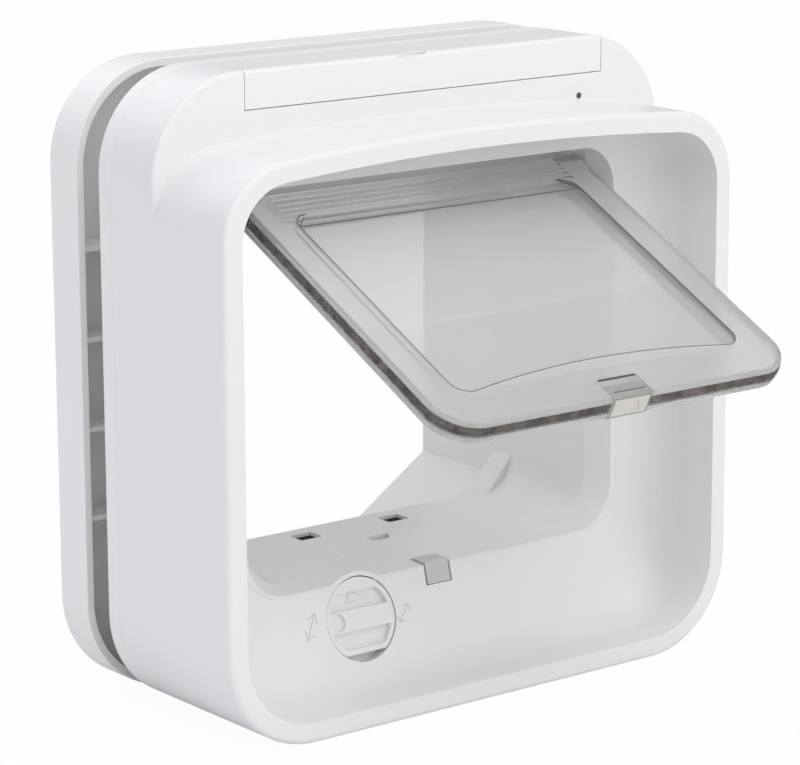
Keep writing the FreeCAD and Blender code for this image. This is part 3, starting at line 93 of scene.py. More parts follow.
class Finish:
    def __init__(self, name, owner=None):
        self.owner = owner or bpy.data.materials.new(name)
        self.owner.use_nodes = True
        self.nodes = self.owner.node_tree.nodes
        self.links = self.owner.node_tree.links
        self.shader = self.nodes.get("Principled BSDF")

    def feed(self, socket, value):
        if isinstance(value, Tap):
            self.links.new(value.socket, socket)
        else:
            socket.default_value = value

    def add(self, kind, settings=None, sockets=None, output=0):
        node = self.nodes.new(kind)
        for key, value in (settings or {}).items():
            if key == "stops":
                stops = node.color_ramp.elements
                while len(stops) < len(value):
                    stops.new(1)
                for stop, (place, colour) in zip(stops, value):
                    stop.position = place
                    stop.color = colour
            else:
                setattr(node, key, value)
        for key, value in (sockets or {}).items():
            self.feed(node.inputs[key], value)
        return Tap(self, node.outputs[output])

    def place(self):
        return self.add("ShaderNodeTexCoord", output="Object")

    def stretched(self, place, factors):
        return self.add("ShaderNodeVectorMath", {"operation": "MULTIPLY"}, {0: place, 1: factors})

    def noise(self, place, scale, detail=3, rough=0.55):
        return self.add("ShaderNodeTexNoise", {}, {"Vector": place, "Scale": scale, "Detail": detail,
                                                   "Roughness": rough})

    def ramp(self, factor, stops):
        grey = [(where, (level, level, level, 1)) for where, level in stops]
        return self.add("ShaderNodeValToRGB", {"stops": grey}, {0: factor})

    def between(self, factor, one, two):
        return self.add("ShaderNodeMix", {"data_type": "RGBA"}, {0: factor, 6: one, 7: two}, 2)

    def bump(self, height, strength, distance):
        return self.add("ShaderNodeBump", {},
                        {"Height": height, "Strength": strength, "Distance": distance})

    def surface(self, **sockets):
        for key, value in sockets.items():
            self.feed(self.shader.inputs[key.replace("_", " ")], value)
        return self.owner


def tone(colour, factor=1.0):
    return tuple(min(1, part * factor) for part in colour) + (1,)


# Moulded plastics: a fine spark-eroded grain, faint flow shades and a broken gloss
plastics = {
    "housingWhite": {"colour": (0.875, 0.878, 0.872), "rough": 0.36, "grain": 0.10, "shade": 0.012},
    "coverWhite": {"colour": (0.88, 0.882, 0.875), "rough": 0.34, "grain": 0.08, "shade": 0.010},
    "frameWhite": {"colour": (0.90, 0.897, 0.885), "rough": 0.40, "grain": 0.12, "shade": 0.015},
    "dialWhite": {"colour": (0.88, 0.88, 0.868), "rough": 0.42, "grain": 0.10, "shade": 0.02},
    "latchGrey": {"colour": (0.63, 0.625, 0.61), "rough": 0.48, "grain": 0.14, "shade": 0.03},
    "gearNylon": {"colour": (0.80, 0.78, 0.70), "rough": 0.45, "grain": 0.10, "shade": 0.03},
    "darkPlastic": {"colour": (0.03, 0.03, 0.032), "rough": 0.42, "grain": 0.12, "shade": 0.1},
    "markGrey": {"colour": (0.62, 0.62, 0.60), "rough": 0.5, "grain": 0.05, "shade": 0.02},
    # painted shade: the dark of the clip's slot and of its lower seam on the flap
    "paintedSlotShade": {"colour": (0.10, 0.105, 0.10), "rough": 0.6, "grain": 0.1, "shade": 0.1},
    # painted shade along the step of the flap's window
    "paintedEdgeShade": {"colour": (0.20, 0.205, 0.20), "rough": 0.5, "grain": 0.1, "shade": 0.1},
    "scratchRust": {"colour": (0.40, 0.22, 0.13), "rough": 0.6, "grain": 0.1, "shade": 0.1},
}
moulding = {"flow": 16, "grain": 2300, "worn": 140, "wornBump": 0.25, "roughSpread": 0.1,
            "depth": 0.03 * mm, "ior": 1.49}


def mouldedPlastic(name):
    look = plastics[name]
    finish = Finish(name)
    place = finish.place()
    flow = finish.noise(finish.stretched(place, (1, 1, 0.5)), moulding["flow"], 4)
    grain = finish.noise(place, moulding["grain"], 2, 0.6)
    worn = finish.noise(place, moulding["worn"], 6, 0.7)
    darker, lighter = (tone(look["colour"], 1 + sign * look["shade"]) for sign in (-1, 1))
    colour = finish.between(flow, darker, lighter)
    rough = look["rough"] - moulding["roughSpread"] / 2 + worn * moulding["roughSpread"]
    bumps = finish.bump(grain + worn * moulding["wornBump"], look["grain"], moulding["depth"])
    return finish.surface(Base_Color=colour, Roughness=rough, Normal=bumps, IOR=moulding["ior"])


# The flap is clear with a warm grey tint: polished in its window, slightly hazy in its border
flapLook = {
    "tint": (0.835, 0.835, 0.828),
    # darker tint of the border: partly the plastic's own tint, partly painted shade from the hood above the
    # flap
    "borderTintAndShade": (0.79, 0.79, 0.766),
    "clearShare": 0.58,
    "windowRough": 0.03,
    "borderRough": 0.12,
    "roughSpread": 0.1,
    "ior": 1.5,
    "streaks": 420,
    "streakStretch": (1, 1, 0.12),
    "streakShare": 0.6,
    "specks": 1500,
    "windowBump": 0.08,
    "bump": 0.25,
    "depth": 0.06 * mm,
    "hinge": (0, -25 * mm, 60.9 * mm),
    "angle": 63.3,
    "windowHalf": 57.5 * mm,
    "windowTop": 13.5 * mm,
    "windowFoot": 107 * mm,
}


def clearPlastic(name):
    finish = Finish(name)
    place = finish.place()
    turn = math.radians(flapLook["angle"])
    hinge = flapLook["hinge"]
    moved = finish.add("ShaderNodeVectorMath", {"operation": "SUBTRACT"}, {0: place, 1: hinge})
    hung = finish.add("ShaderNodeVectorRotate", {"rotation_type": "X_AXIS"},
                      {"Vector": moved, "Angle": turn})
    parts = finish.add("ShaderNodeSeparateXYZ", {}, {0: hung}, "X")
    across = abs(parts)
    up = Tap(finish, parts.socket.node.outputs["Z"])
    inside = across < flapLook["windowHalf"]
    inside = inside * (up < -flapLook["windowTop"]) * (up > -flapLook["windowFoot"])
    streaks = finish.noise(finish.stretched(hung, flapLook["streakStretch"]), flapLook["streaks"], 4, 0.6)
    specks = finish.noise(hung, flapLook["specks"], 3, 0.7)
    border = 1 - inside
    spread, share = flapLook["roughSpread"], flapLook["streakShare"]
    rough = flapLook["windowRough"] + border * (flapLook["borderRough"] - spread / 2 + streaks * spread)
    height = (streaks * share + specks * (1 - share)) * (flapLook["windowBump"] + border)
    # the border takes the darker tint, which is partly painted shade from the hood
    colour = finish.between(border, tone(flapLook["tint"]), tone(flapLook["borderTintAndShade"]))
    return finish.surface(Base_Color=colour, Roughness=rough,
                          Normal=finish.bump(height, flapLook["bump"], flapLook["depth"]),
                          IOR=flapLook["ior"], Transmission_Weight=flapLook["clearShare"])


# Pile of the brushes: dark fibres with paler tips among them
pileLook = {"dark": (0.19, 0.172, 0.158), "pale": (0.58, 0.545, 0.51), "rough": 0.95,
            "fibres": 2600, "fibreShare": 0.6, "patches": 210, "stops": [(0.42, 0.0), (0.62, 1.0)],
            "bump": 0.8, "depth": 0.2 * mm, "ior": 1.45}


def brushPile(name):
    finish = Finish(name)
    place = finish.place()
    fibres = finish.noise(place, pileLook["fibres"], 3, 0.8)
    patches = finish.noise(place, pileLook["patches"], 4, 0.6)
    share = pileLook["fibreShare"]
    mask = finish.ramp(fibres * share + patches * (1 - share), pileLook["stops"])
    colour = finish.between(mask, tone(pileLook["dark"]), tone(pileLook["pale"]))
    return finish.surface(Base_Color=colour, Roughness=pileLook["rough"],
                          Normal=finish.bump(fibres, pileLook["bump"], pileLook["depth"]),
                          IOR=pileLook["ior"])


# Metals: fine grinding lines along one direction
metals = {
    "zincSteel": {"colour": (0.56, 0.57, 0.58), "rough": 0.30, "lines": (1, 14, 1)},
    "nickelPlate": {"colour": (0.74, 0.72, 0.68), "rough": 0.24, "lines": (1, 1, 16)},
    "insertBrass": {"colour": (0.72, 0.53, 0.26), "rough": 0.30, "lines": (1, 14, 1)},
    "motorSteel": {"colour": (0.50, 0.50, 0.51), "rough": 0.34, "lines": (14, 1, 14)},
    "shoeSteel": {"colour": (0.78, 0.74, 0.69), "rough": 0.42, "lines": (8, 1, 1)},
}
grinding = {"lines": 700, "smear": 260, "tones": (0.86, 1.12), "roughDrop": 0.06, "roughSpread": 0.08,
            "bump": 0.12, "depth": 0.03 * mm}


def groundMetal(name):
    look = metals[name]
    finish = Finish(name)
    place = finish.place()
    lines = finish.noise(finish.stretched(place, look["lines"]), grinding["lines"], 4, 0.7)
    smear = finish.noise(place, grinding["smear"], 5, 0.6)
    colour = finish.between(smear, *(tone(look["colour"], level) for level in grinding["tones"]))
    spread = grinding["roughSpread"]
    rough = look["rough"] - grinding["roughDrop"] + lines * spread + smear * spread
    return finish.surface(Base_Color=colour, Roughness=rough,
                          Normal=finish.bump(lines, grinding["bump"], grinding["depth"]), Metallic=1.0)


# Circuit boards: solder mask over copper tracks, with tinned pads on a grid
boardLook = {
    "mask": (0.015, 0.11, 0.05),
    "track": (0.03, 0.19, 0.08),
    "pad": (0.62, 0.61, 0.56),
    "tracks": {"Scale": 330, "Mortar Size": 0.012, "Brick Width": 0.9, "Row Height": 0.28},
    "pads": {"Scale": 420, "Randomness": 0.1},
    "padReach": 0.22,
    "rough": 0.32,
    "padRough": 0.1,
    "padMetal": 0.9,
    "bump": 0.3,
    "depth": 0.05 * mm,
}


def circuitMask(name):
    finish = Finish(name)
    place = finish.place()
    flat = finish.add("ShaderNodeVectorRotate", {"rotation_type": "X_AXIS"},
                      {"Vector": place, "Angle": math.pi / 2})
    tracks = finish.add("ShaderNodeTexBrick", {"offset": 0.5, "squash": 0.6},
                        {"Vector": flat, "Color1": tone((1, 1, 1)), "Color2": tone((0.6, 0.6, 0.6)),
                         "Mortar": tone((0, 0, 0)), **boardLook["tracks"]})
    dots = finish.add("ShaderNodeTexVoronoi", {}, {"Vector": place, **boardLook["pads"]})
    pad = dots < boardLook["padReach"]
    colour = finish.between(tracks, tone(boardLook["track"]), tone(boardLook["mask"]))
    colour = finish.between(pad, colour, tone(boardLook["pad"]))
    return finish.surface(Base_Color=colour, Roughness=boardLook["rough"] + pad * boardLook["padRough"],
                          Metallic=pad * boardLook["padMetal"],
                          Normal=finish.bump(pad, boardLook["bump"], boardLook["depth"]))


# Cell jackets: dark sleeve with a copper-coloured end, bare steel at both ends
cellLook = {
    "sleeve": (0.035, 0.035, 0.04),
    "band": (0.62, 0.36, 0.16),
    "steel": (0.62, 0.62, 0.62),
    "pitch": 50.5 * mm,
    "bandFrom": 37 * mm,
    "ends": 0.9 * mm,
    "farEnd": 2.2,
    "scuffs": 380,
    "rough": 0.22,
    "scuffRough": 0.16,
    "bandMetal": 0.6,
    "bump": 0.05,
    "depth": 0.03 * mm,
}


def cellJacket(name):
    finish = Finish(name)
    place = finish.place()
    along = finish.add("ShaderNodeSeparateXYZ", {}, {0: place}, "X") % cellLook["pitch"]
    band = along > cellLook["bandFrom"]
    bare = (along < cellLook["ends"]) + (along > cellLook["pitch"] - cellLook["farEnd"] * cellLook["ends"])
    scuffs = finish.noise(place, cellLook["scuffs"], 5, 0.7)
    colour = finish.between(band, tone(cellLook["sleeve"]), tone(cellLook["band"]))
    colour = finish.between(bare, colour, tone(cellLook["steel"]))
    return finish.surface(Base_Color=colour, Roughness=cellLook["rough"] + scuffs * cellLook["scuffRough"],
                          Metallic=bare + band * cellLook["bandMetal"] * (1 - bare),
                          Normal=finish.bump(scuffs, cellLook["bump"], cellLook["depth"]))


# Coil of enamelled wire, wound round the passage; the grooves between the turns are painted dark as shade
wireLook = {"crown": (0.66, 0.31, 0.13), "gap": (0.12, 0.045, 0.02), "pitch": 0.45 * mm, "shade": 90,
            "rough": 0.26, "shadeRough": 0.12, "metal": 0.75, "bump": 0.8, "depth": 0.2 * mm}


def woundWire(name):
    finish = Finish(name)
    place = finish.place()
    depth = finish.add("ShaderNodeSeparateXYZ", {}, {0: place}, "Y") % wireLook["pitch"]
    crown = finish.ramp(abs(depth / wireLook["pitch"] - 0.5) * 2, [(0.0, 1.0), (1.0, 0.0)])
    shade = finish.noise(place, wireLook["shade"])
    # painted shade: darker in the grooves between the turns, copper on their crowns
    colour = finish.between(crown, tone(wireLook["gap"]), tone(wireLook["crown"]))
    return finish.surface(Base_Color=colour, Roughness=wireLook["rough"] + shade * wireLook["shadeRough"],
                          Metallic=wireLook["metal"],
                          Normal=finish.bump(crown, wireLook["bump"], wireLook["depth"]))


# Tinted plates over the sensors and the light pipe
tints = {
    "sensorTint": {"colour": (0.004, 0.004, 0.004), "rough": 0.5},
    "lightTint": {"colour": (0.10, 0.09, 0.085), "rough": 0.2},
}
tinting = {"haze": 240, "tones": (0.85, 1.15), "hazeRough": 0.1, "bump": 0.05, "depth": 0.05 * mm,
           "specular": 0.15}


def tintedPlate(name):
    look = tints[name]
    finish = Finish(name)
    haze = finish.noise(finish.place(), tinting["haze"], 4)
    shade = finish.between(haze, *(tone(look["colour"], level) for level in tinting["tones"]))
    return finish.surface(Base_Color=shade, Roughness=look["rough"] + haze * tinting["hazeRough"],
                          Normal=finish.bump(haze, tinting["bump"], tinting["depth"]),
                          Specular_IOR_Level=tinting["specular"])


makers = {
    mouldedPlastic: plastics,
    groundMetal: metals,
    tintedPlate: tints,
    clearPlastic: ["flapClear"],
    brushPile: ["brushPile"],
    circuitMask: ["circuitMask"],
    cellJacket: ["cellJacket"],
    woundWire: ["woundWire"],
}
made = {name: maker(name) for maker, names in makers.items() for name in names}
nodeFinishes = {
    "housingWhite": ["housing"],
    "coverWhite": ["battery_cover"],
    "frameWhite": ["rear_frame", "outer_frame"],
    "flapClear": ["flap_panel", "magnet_holder"],
    "brushPile": ["brush_left", "brush_right"],
    "dialWhite": ["lock_dial"],
    "latchGrey": ["entry_latch", "exit_latch"],
    "gearNylon": ["latch_pinion", "dial_cam"],
    "darkPlastic": ["battery_tray", "board_components", "learn_button", "latch_guide"],
    "zincSteel": ["housing_screws", "hinge_pins", "dial_clip"],
    "nickelPlate": ["magnet", "floor_magnet", "battery_contacts"],
    "insertBrass": ["screw_inserts"],
    "motorSteel": ["latch_motor"],
    "circuitMask": ["circuit_board", "indicator_board", "sensor_board"],
    "cellJacket": ["battery_1", "battery_2", "battery_3", "battery_4"],
    "woundWire": ["aerial_coil"],
    "sensorTint": ["sensor_windows"],
    "lightTint": ["status_light"],
}
for finishName, members in nodeFinishes.items():
    for member in members:
        nodes[member].data.materials.clear()
        nodes[member].data.materials.append(made[finishName])
print("finishes:", len(made))


# Meshes
def pieceFrom(name, mesh, finishName, body, matrix=None):
    data = bpy.data.meshes.new(name)
    mesh.to_mesh(data)
    mesh.free()
    piece = bpy.data.objects.new(name, data)
    bpy.context.scene.collection.objects.link(piece)
    data.materials.append(made[finishName])
    if matrix:
        data.transform(matrix)
    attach(piece, body)
    return piece


edges = {"segments": 2, "angle": 35}


def rounded(piece, width):
    bevel = piece.modifiers.new("edges", "BEVEL")
    bevel.width = width
    bevel.segments = edges["segments"]
    bevel.limit_method = "ANGLE"
    bevel.angle_limit = math.radians(edges["angle"])
    for face in piece.data.polygons:
        face.use_smooth = True
    normals = piece.modifiers.new("normals", "WEIGHTED_NORMAL")
    normals.keep_sharp = True


# Upright walls on an outline of (x, z) points, from y low to y high
def prism(mesh, outline, low, high):
    rings = [[mesh.verts.new((x, y, z)) for x, z in outline] for y in (low, high)]
    mesh.faces.new(rings[0])
    mesh.faces.new(list(reversed(rings[1])))
    for index in range(len(outline)):
        after = (index + 1) % len(outline)
        mesh.faces.new([rings[0][after], rings[0][index], rings[1][index], rings[1][after]])


flapPlace = Matrix.Translation(Vector(flapLook["hinge"])) @ Matrix.Rotation(
    -math.radians(flapLook["angle"]), 4, "X")


# Brushes: a backing strip in the flap's groove, with tufts of pile along it.
# The jitter and the sways are in millimetres.
brush = {
    "half": 71.1 * mm,
    "foot": 121.5 * mm,
    "corner": 14 * mm,
    "start": 8 * mm,
    "stop": 8.6 * mm,
    "width": 3.3 * mm,
    "shift": -0.3 * mm,
    "sink": 1.5 * mm,
    "strip": 0.75 * mm,
    "proud": 0.72 * mm,
    "step": 0.42 * mm,
    "stripStep": 4,
    "stripDip": 0.6,
    "rows": 9,
    "spread": 0.93,
    "jitter": 0.12,
    "sway": 0.25,
    "tipSway": 0.15,
    "shortest": 0.55,
    "dome": 0.35,
    "root": 0.9 * mm,
    "tuft": 0.3 * mm,
    "tuftRange": (0.7, 1.2),
    "tuftTurns": (0.5, 2.6, 4.7),
    "seed": 11,
}


# Points and outward directions along the flap's edge, from the hinge end to the magnet
def edgeOfFlap(side):
    half, foot, corner = brush["half"], brush["foot"], brush["corner"]
    runs = [foot - corner - brush["start"], corner * math.pi / 2, half - corner - brush["stop"]]
    count = int(sum(runs) / brush["step"])
    line = []
    for index in range(count + 1):
        way = sum(runs) * index / count
        if way < runs[0]:
            line.append((half, -brush["start"] - way, 1.0, 0.0))
        elif way < runs[0] + runs[1]:
            turn = (way - runs[0]) / corner
            out = math.cos(turn), -math.sin(turn)
            line.append((half - corner + out[0] * corner, corner - foot + out[1] * corner, *out))
        else:
            line.append((half - corner - (way - runs[0] - runs[1]), -foot, 0.0, -1.0))
    return [(side * x, z, side * outX, outZ) for x, z, outX, outZ in line]


def makeBrush(name, side, node):
    chance = random.Random(brush["seed"] + side)

    def either(amount):
        return chance.uniform(-brush[amount], brush[amount]) * mm

    mesh = bmesh.new()
    line = edgeOfFlap(side)
    half, shift, root = brush["width"] / 2, brush["shift"], brush["root"]
    rings = []
    for x, z, outX, outZ in line[::brush["stripStep"]] + [line[-1]]:
        ring = []
        for inset, y in ((brush["sink"], -half), (brush["sink"], half), (brush["strip"], half),
                         (brush["strip"] * brush["stripDip"], 0), (brush["strip"], -half)):
            ring.append(mesh.verts.new((x - outX * inset, y + shift, z - outZ * inset)))
        rings.append(ring)
    for one, two in zip(rings, rings[1:]):
        for index in range(5):
            after = (index + 1) % 5
            mesh.faces.new([one[index], one[after], two[after], two[index]])
    mesh.faces.new(rings[0])
    mesh.faces.new(list(reversed(rings[-1])))
    bmesh.ops.recalc_face_normals(mesh, faces=mesh.faces)
    for x, z, outX, outZ in line:
        for row in range(brush["rows"]):
            level = 2 * row / (brush["rows"] - 1) - 1
            y = half * brush["spread"] * level + either("jitter")
            along = either("sway")
            tip = brush["proud"] * chance.uniform(brush["shortest"], 1.0)
            tip *= 1 - brush["dome"] * (y / half) ** 2
            lean = either("sway")
            thick = brush["tuft"] * chance.uniform(*brush["tuftRange"])
            foot = Vector((x - outX * root - outZ * along, y + shift, z - outZ * root + outX * along))
            top = Vector((x + outX * tip - outZ * (along + lean), y + shift + either("tipSway"),
                          z + outZ * tip + outX * (along + lean)))
            corners = []
            for turn in brush["tuftTurns"]:
                reach = thick * math.cos(turn)
                corners.append(mesh.verts.new(
                    foot + Vector((-outZ * reach, thick * math.sin(turn), outX * reach))))
            peak = mesh.verts.new(top)
            for index in range(3):
                mesh.faces.new([corners[index], corners[(index + 1) % 3], peak])
    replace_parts(pieceFrom(name, mesh, "brushPile", "flap", flapPlace), node)


makeBrush("brushPileLeft", -1, "brush_left")
makeBrush("brushPileRight", 1, "brush_right")
print("brushes made")


# Marks beside the dial: small raised strokes that stand for in, out and locked
fascia = {"dial": (-34 * mm, -41.748 * mm, -77.1224 * mm), "lean": 15}
fasciaPlace = Matrix.Translation(Vector(fascia["dial"])) @ Matrix.Rotation(
    -math.radians(fascia["lean"]), 4, "X")
marks = {
    "thick": 0.24 * mm,
    "proud": 0.12 * mm,
    "hollow": 2 * mm,
    "pointerRise": 0.4 * mm,
    "left": [[(-22.5, -3.4), (-20.4, 1.0), (-18.3, 5.2)], [(-21.6, 3.2), (-18.3, 5.2), (-18.0, 1.7)],
             [(-23.0, 0.4), (-22.5, -3.4), (-19.6, -1.9)]],
    "right": [[(15.1, -3.9), (17.4, -1.3), (19.6, 1.3)], [(17.2, 1.0), (19.6, 1.3), (20.0, -0.9)],
              [(14.7, -1.6), (15.1, -3.9), (17.5, -3.6)]],
    "foot": [[(-2.7, -15.2), (-3.0, -17.2)], [(-0.9, -15.5), (-1.1, -17.5)]],
    "pointer": [[(-1.6, 9.5), (-3.7, 6.0), (5.4, 6.0), (-1.6, 9.5)]],
}


# Round strokes along lines of points in millimetres, with their caps filled
def strokes(name, lines, place, body, finishName, thick):
    curve = bpy.data.curves.new(name, "CURVE")
    curve.dimensions = "3D"
    curve.bevel_depth = thick
    curve.bevel_resolution = 2
    curve.use_fill_caps = True
    for line in lines:
        spline = curve.splines.new("POLY")
        spline.points.add(len(line) - 1)
        for point, spot in zip(spline.points, line):
            point.co = (*(value * mm for value in spot), 1)
    piece = bpy.data.objects.new(name, curve)
    bpy.context.scene.collection.objects.link(piece)
    piece.matrix_world = place
    curve.materials.append(made[finishName])
    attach(piece, body)


def onFace(lines, sunk):
    return [[(x, sunk / mm, z) for x, z in line] for line in lines]


sunk = marks["thick"] - marks["proud"]
for side in ("left", "right", "foot"):
    strokes("mark" + side.title(), onFace(marks[side], sunk), fasciaPlace, "indoor_unit", "markGrey",
            marks["thick"])
strokes("dialPointer", onFace(marks["pointer"], sunk + marks["hollow"] + marks["pointerRise"]), fasciaPlace,
        "dial", "markGrey", marks["thick"])

# Passage: a low rib across the floor, and the wedges in its lower corners
passage = {
    "rib": [(-19.6, -3.3, -62.85), (-21.3, -10.6, -63.2), (-23.8, -20.7, -63.95)],
    "ribThick": 0.45 * mm,
    "wedge": [(72.2, -47.5), (73.4, -48.5), (73.4, -58.0), (66.0, -63.0), (59.5, -62.0)],
    "from": 8 * mm,
    "to": 17.8 * mm,
    "edge": 0.4 * mm,
}
strokes("floorRib", [passage["rib"]], Matrix.Identity(4), "indoor_unit", "housingWhite",
        passage["ribThick"])
for side, label in ((-1, "Left"), (1, "Right")):
    corner = bmesh.new()
    prism(corner, [(side * x * mm, z * mm) for x, z in passage["wedge"]], passage["from"], passage["to"])
    bmesh.ops.recalc_face_normals(corner, faces=corner.faces)
    rounded(pieceFrom("cornerWedge" + label, corner, "housingWhite", "indoor_unit"),
            passage["edge"])

# Clip of the flap's magnet: a steel shoe under the magnet, and dark strokes painted as the shade in the slot
# above the clip and along its lower seam
shoe = {
    "half": 7.1 * mm,
    "depth": 3.2 * mm,
    "top": -121.45 * mm,
    "foot": -121.85 * mm,
    "edge": 0.12 * mm,
    "scratch": [(2.2, -1.9, -121.8), (4.4, 1.9, -121.8)],
    "scratchThick": 0.12 * mm,
    "slot": [(-7.4, -4.0, -112.6), (7.4, -4.0, -112.6)],
    "slotShadeThick": 0.4 * mm,
    "seam": [(-6.2, -4.0, -118.9), (6.6, -4.0, -118.9)],
    "seamShadeThick": 0.16 * mm,
}
plate = bmesh.new()
prism(plate, [(-shoe["half"], shoe["foot"]), (shoe["half"], shoe["foot"]), (shoe["half"], shoe["top"]),
              (-shoe["half"], shoe["top"])], -shoe["depth"], shoe["depth"])
bmesh.ops.recalc_face_normals(plate, faces=plate.faces)
rounded(pieceFrom("magnetShoe", plate, "shoeSteel", "flap", flapPlace), shoe["edge"])
strokes("shoeScratch", [shoe["scratch"]], flapPlace, "flap", "scratchRust",
        shoe["scratchThick"])
# dark strokes that paint the shade in the slot and along the seam
strokes("clipSlot", [shoe["slot"]], flapPlace, "flap", "paintedSlotShade", shoe["slotShadeThick"])
strokes("clipSeam", [shoe["seam"]], flapPlace, "flap", "paintedSlotShade", shoe["seamShadeThick"])

# Painted shade: a fine dark line along the step of the flap's window, whose lower edge is arched
seam = {
    "half": 58.5 * mm,
    "top": -12.5 * mm,
    "low": -107 * mm,
    "arch": 5 * mm,
    "corner": 6 * mm,
    "face": -3.9 * mm,
    "thick": 0.22 * mm,
    "parts": 6,
}


def makeWindowEdgeShade():
    half, corner, arch, parts = seam["half"], seam["corner"], seam["arch"], seam["parts"]
    flat = half - corner
    bow = (flat ** 2 / arch + arch) / 2
    side = [(half, seam["top"] - corner)]
    for index in range(parts + 1):
        turn = math.pi / 2 * index / parts
        side.append((flat + corner * math.cos(turn), seam["low"] + corner - corner * math.sin(turn)))
    for index in range(1, parts + 1):
        x = flat * (1 - index / parts)
        side.append((x, seam["low"] + arch - bow + math.sqrt(bow ** 2 - x ** 2)))
    for index in range(parts + 1):
        turn = math.pi / 2 * (1 - index / parts)
        side.insert(0, (flat + corner * math.cos(turn), seam["top"] - corner + corner * math.sin(turn)))
    line = side + [(-x, z) for x, z in reversed(side[:-1])]
    points = [(x / mm, seam["face"] / mm, z / mm) for x, z in line]
    # the dark stroke paints the shade along the window's step
    strokes("windowSeam", [points + points[:1]], flapPlace, "flap", "paintedEdgeShade",
            seam["thick"])


makeWindowEdgeShade()

# Rounded roll along the sill and up both sides of the passage's mouth, with gaps at the dial and the latch
mouth = {
    "half": 79.5 * mm,
    "sill": -65 * mm,
    "front": -38.6 * mm,
    "corner": 18 * mm,
    "top": 20 * mm,
    "thick": 0.95 * mm,
    "sink": 0.62 * mm,
    "gaps": [-41.6 * mm, -26.4 * mm, -5.7 * mm, 5.7 * mm],
    "parts": 9,
}


def makeMouth():
    half, corner, sink = mouth["half"], mouth["corner"], mouth["sink"]
    turned = [math.pi / 2 * index / mouth["parts"] for index in range(mouth["parts"] + 1)]
    bend = [(half + sink, mouth["top"])]
    for turn in turned:
        bend.append((half - corner + (corner + sink) * math.cos(turn),
                     mouth["sill"] + corner - (corner + sink) * math.sin(turn)))
    low = mouth["sill"] - sink
    gaps = mouth["gaps"]
    runs = [[(-x, z) for x, z in bend] + [(gaps[0], low)], [(gaps[1], low), (gaps[2], low)],
            [(gaps[3], low)] + list(reversed(bend))]
    y = mouth["front"] + sink
    lines = [[(x / mm, y / mm, z / mm) for x, z in run] for run in runs]
    strokes("mouthRoll", lines, Matrix.Identity(4), "indoor_unit", "housingWhite",
            mouth["thick"])


makeMouth()

# Raised arrowhead on the battery cover, which shows the way the cover lifts off
coverMark = {
    "line": [(-8.2, -30.4, 104.9), (-1.4, -24.6, 104.9), (3.2, -29.6, 104.9), (-8.2, -30.4, 104.9)],
    "thick": 0.22 * mm,
}
strokes("coverArrow", [coverMark["line"]], Matrix.Identity(4), "cover", "coverWhite",
        coverMark["thick"])

# Screws behind the plate: pan heads with a cross recess, and a turned thread
screw = {
    "places": 87 * mm,
    "headFrom": -0.32 * mm,
    "seat": -2.1 * mm,
    "tip": -18 * mm,
    "head": 2.75 * mm,
    "core": 1.15 * mm,
    "crest": 1.48 * mm,
    "pitch": 1.1 * mm,
    "threadAt": (0.35, 0.45, 0.8),
    "crown": 0.72,
    "rimReach": 0.9,
    "rim": 0.18 * mm,
    "shoulder": 0.55 * mm,
    "neck": 0.4 * mm,
    "runOut": 2.2 * mm,
    "taper": 1.6 * mm,
    "point": 0.2 * mm,
    "slotHalf": 1.6 * mm,
    "slotWide": 0.36 * mm,
    "slotDeep": 1.0 * mm,
    "slotSpare": 0.5 * mm,
    "sides": 32,
}


# Rings of (radius, y) about a line along Y; the first and last close on the line
def addTurned(mesh, centre, profile):
    rings = []
    for radius, y in profile:
        ring = []
        for side in range(screw["sides"]):
            turn = 2 * math.pi * side / screw["sides"]
            ring.append(mesh.verts.new((centre[0] + radius * math.cos(turn), y,
                                        centre[1] + radius * math.sin(turn))))
        rings.append(ring)
    for one, two in zip(rings, rings[1:]):
        for side in range(screw["sides"]):
            after = (side + 1) % screw["sides"]
            mesh.faces.new([one[side], one[after], two[after], two[side]])
    mesh.faces.new(rings[0])
    mesh.faces.new(list(reversed(rings[-1])))


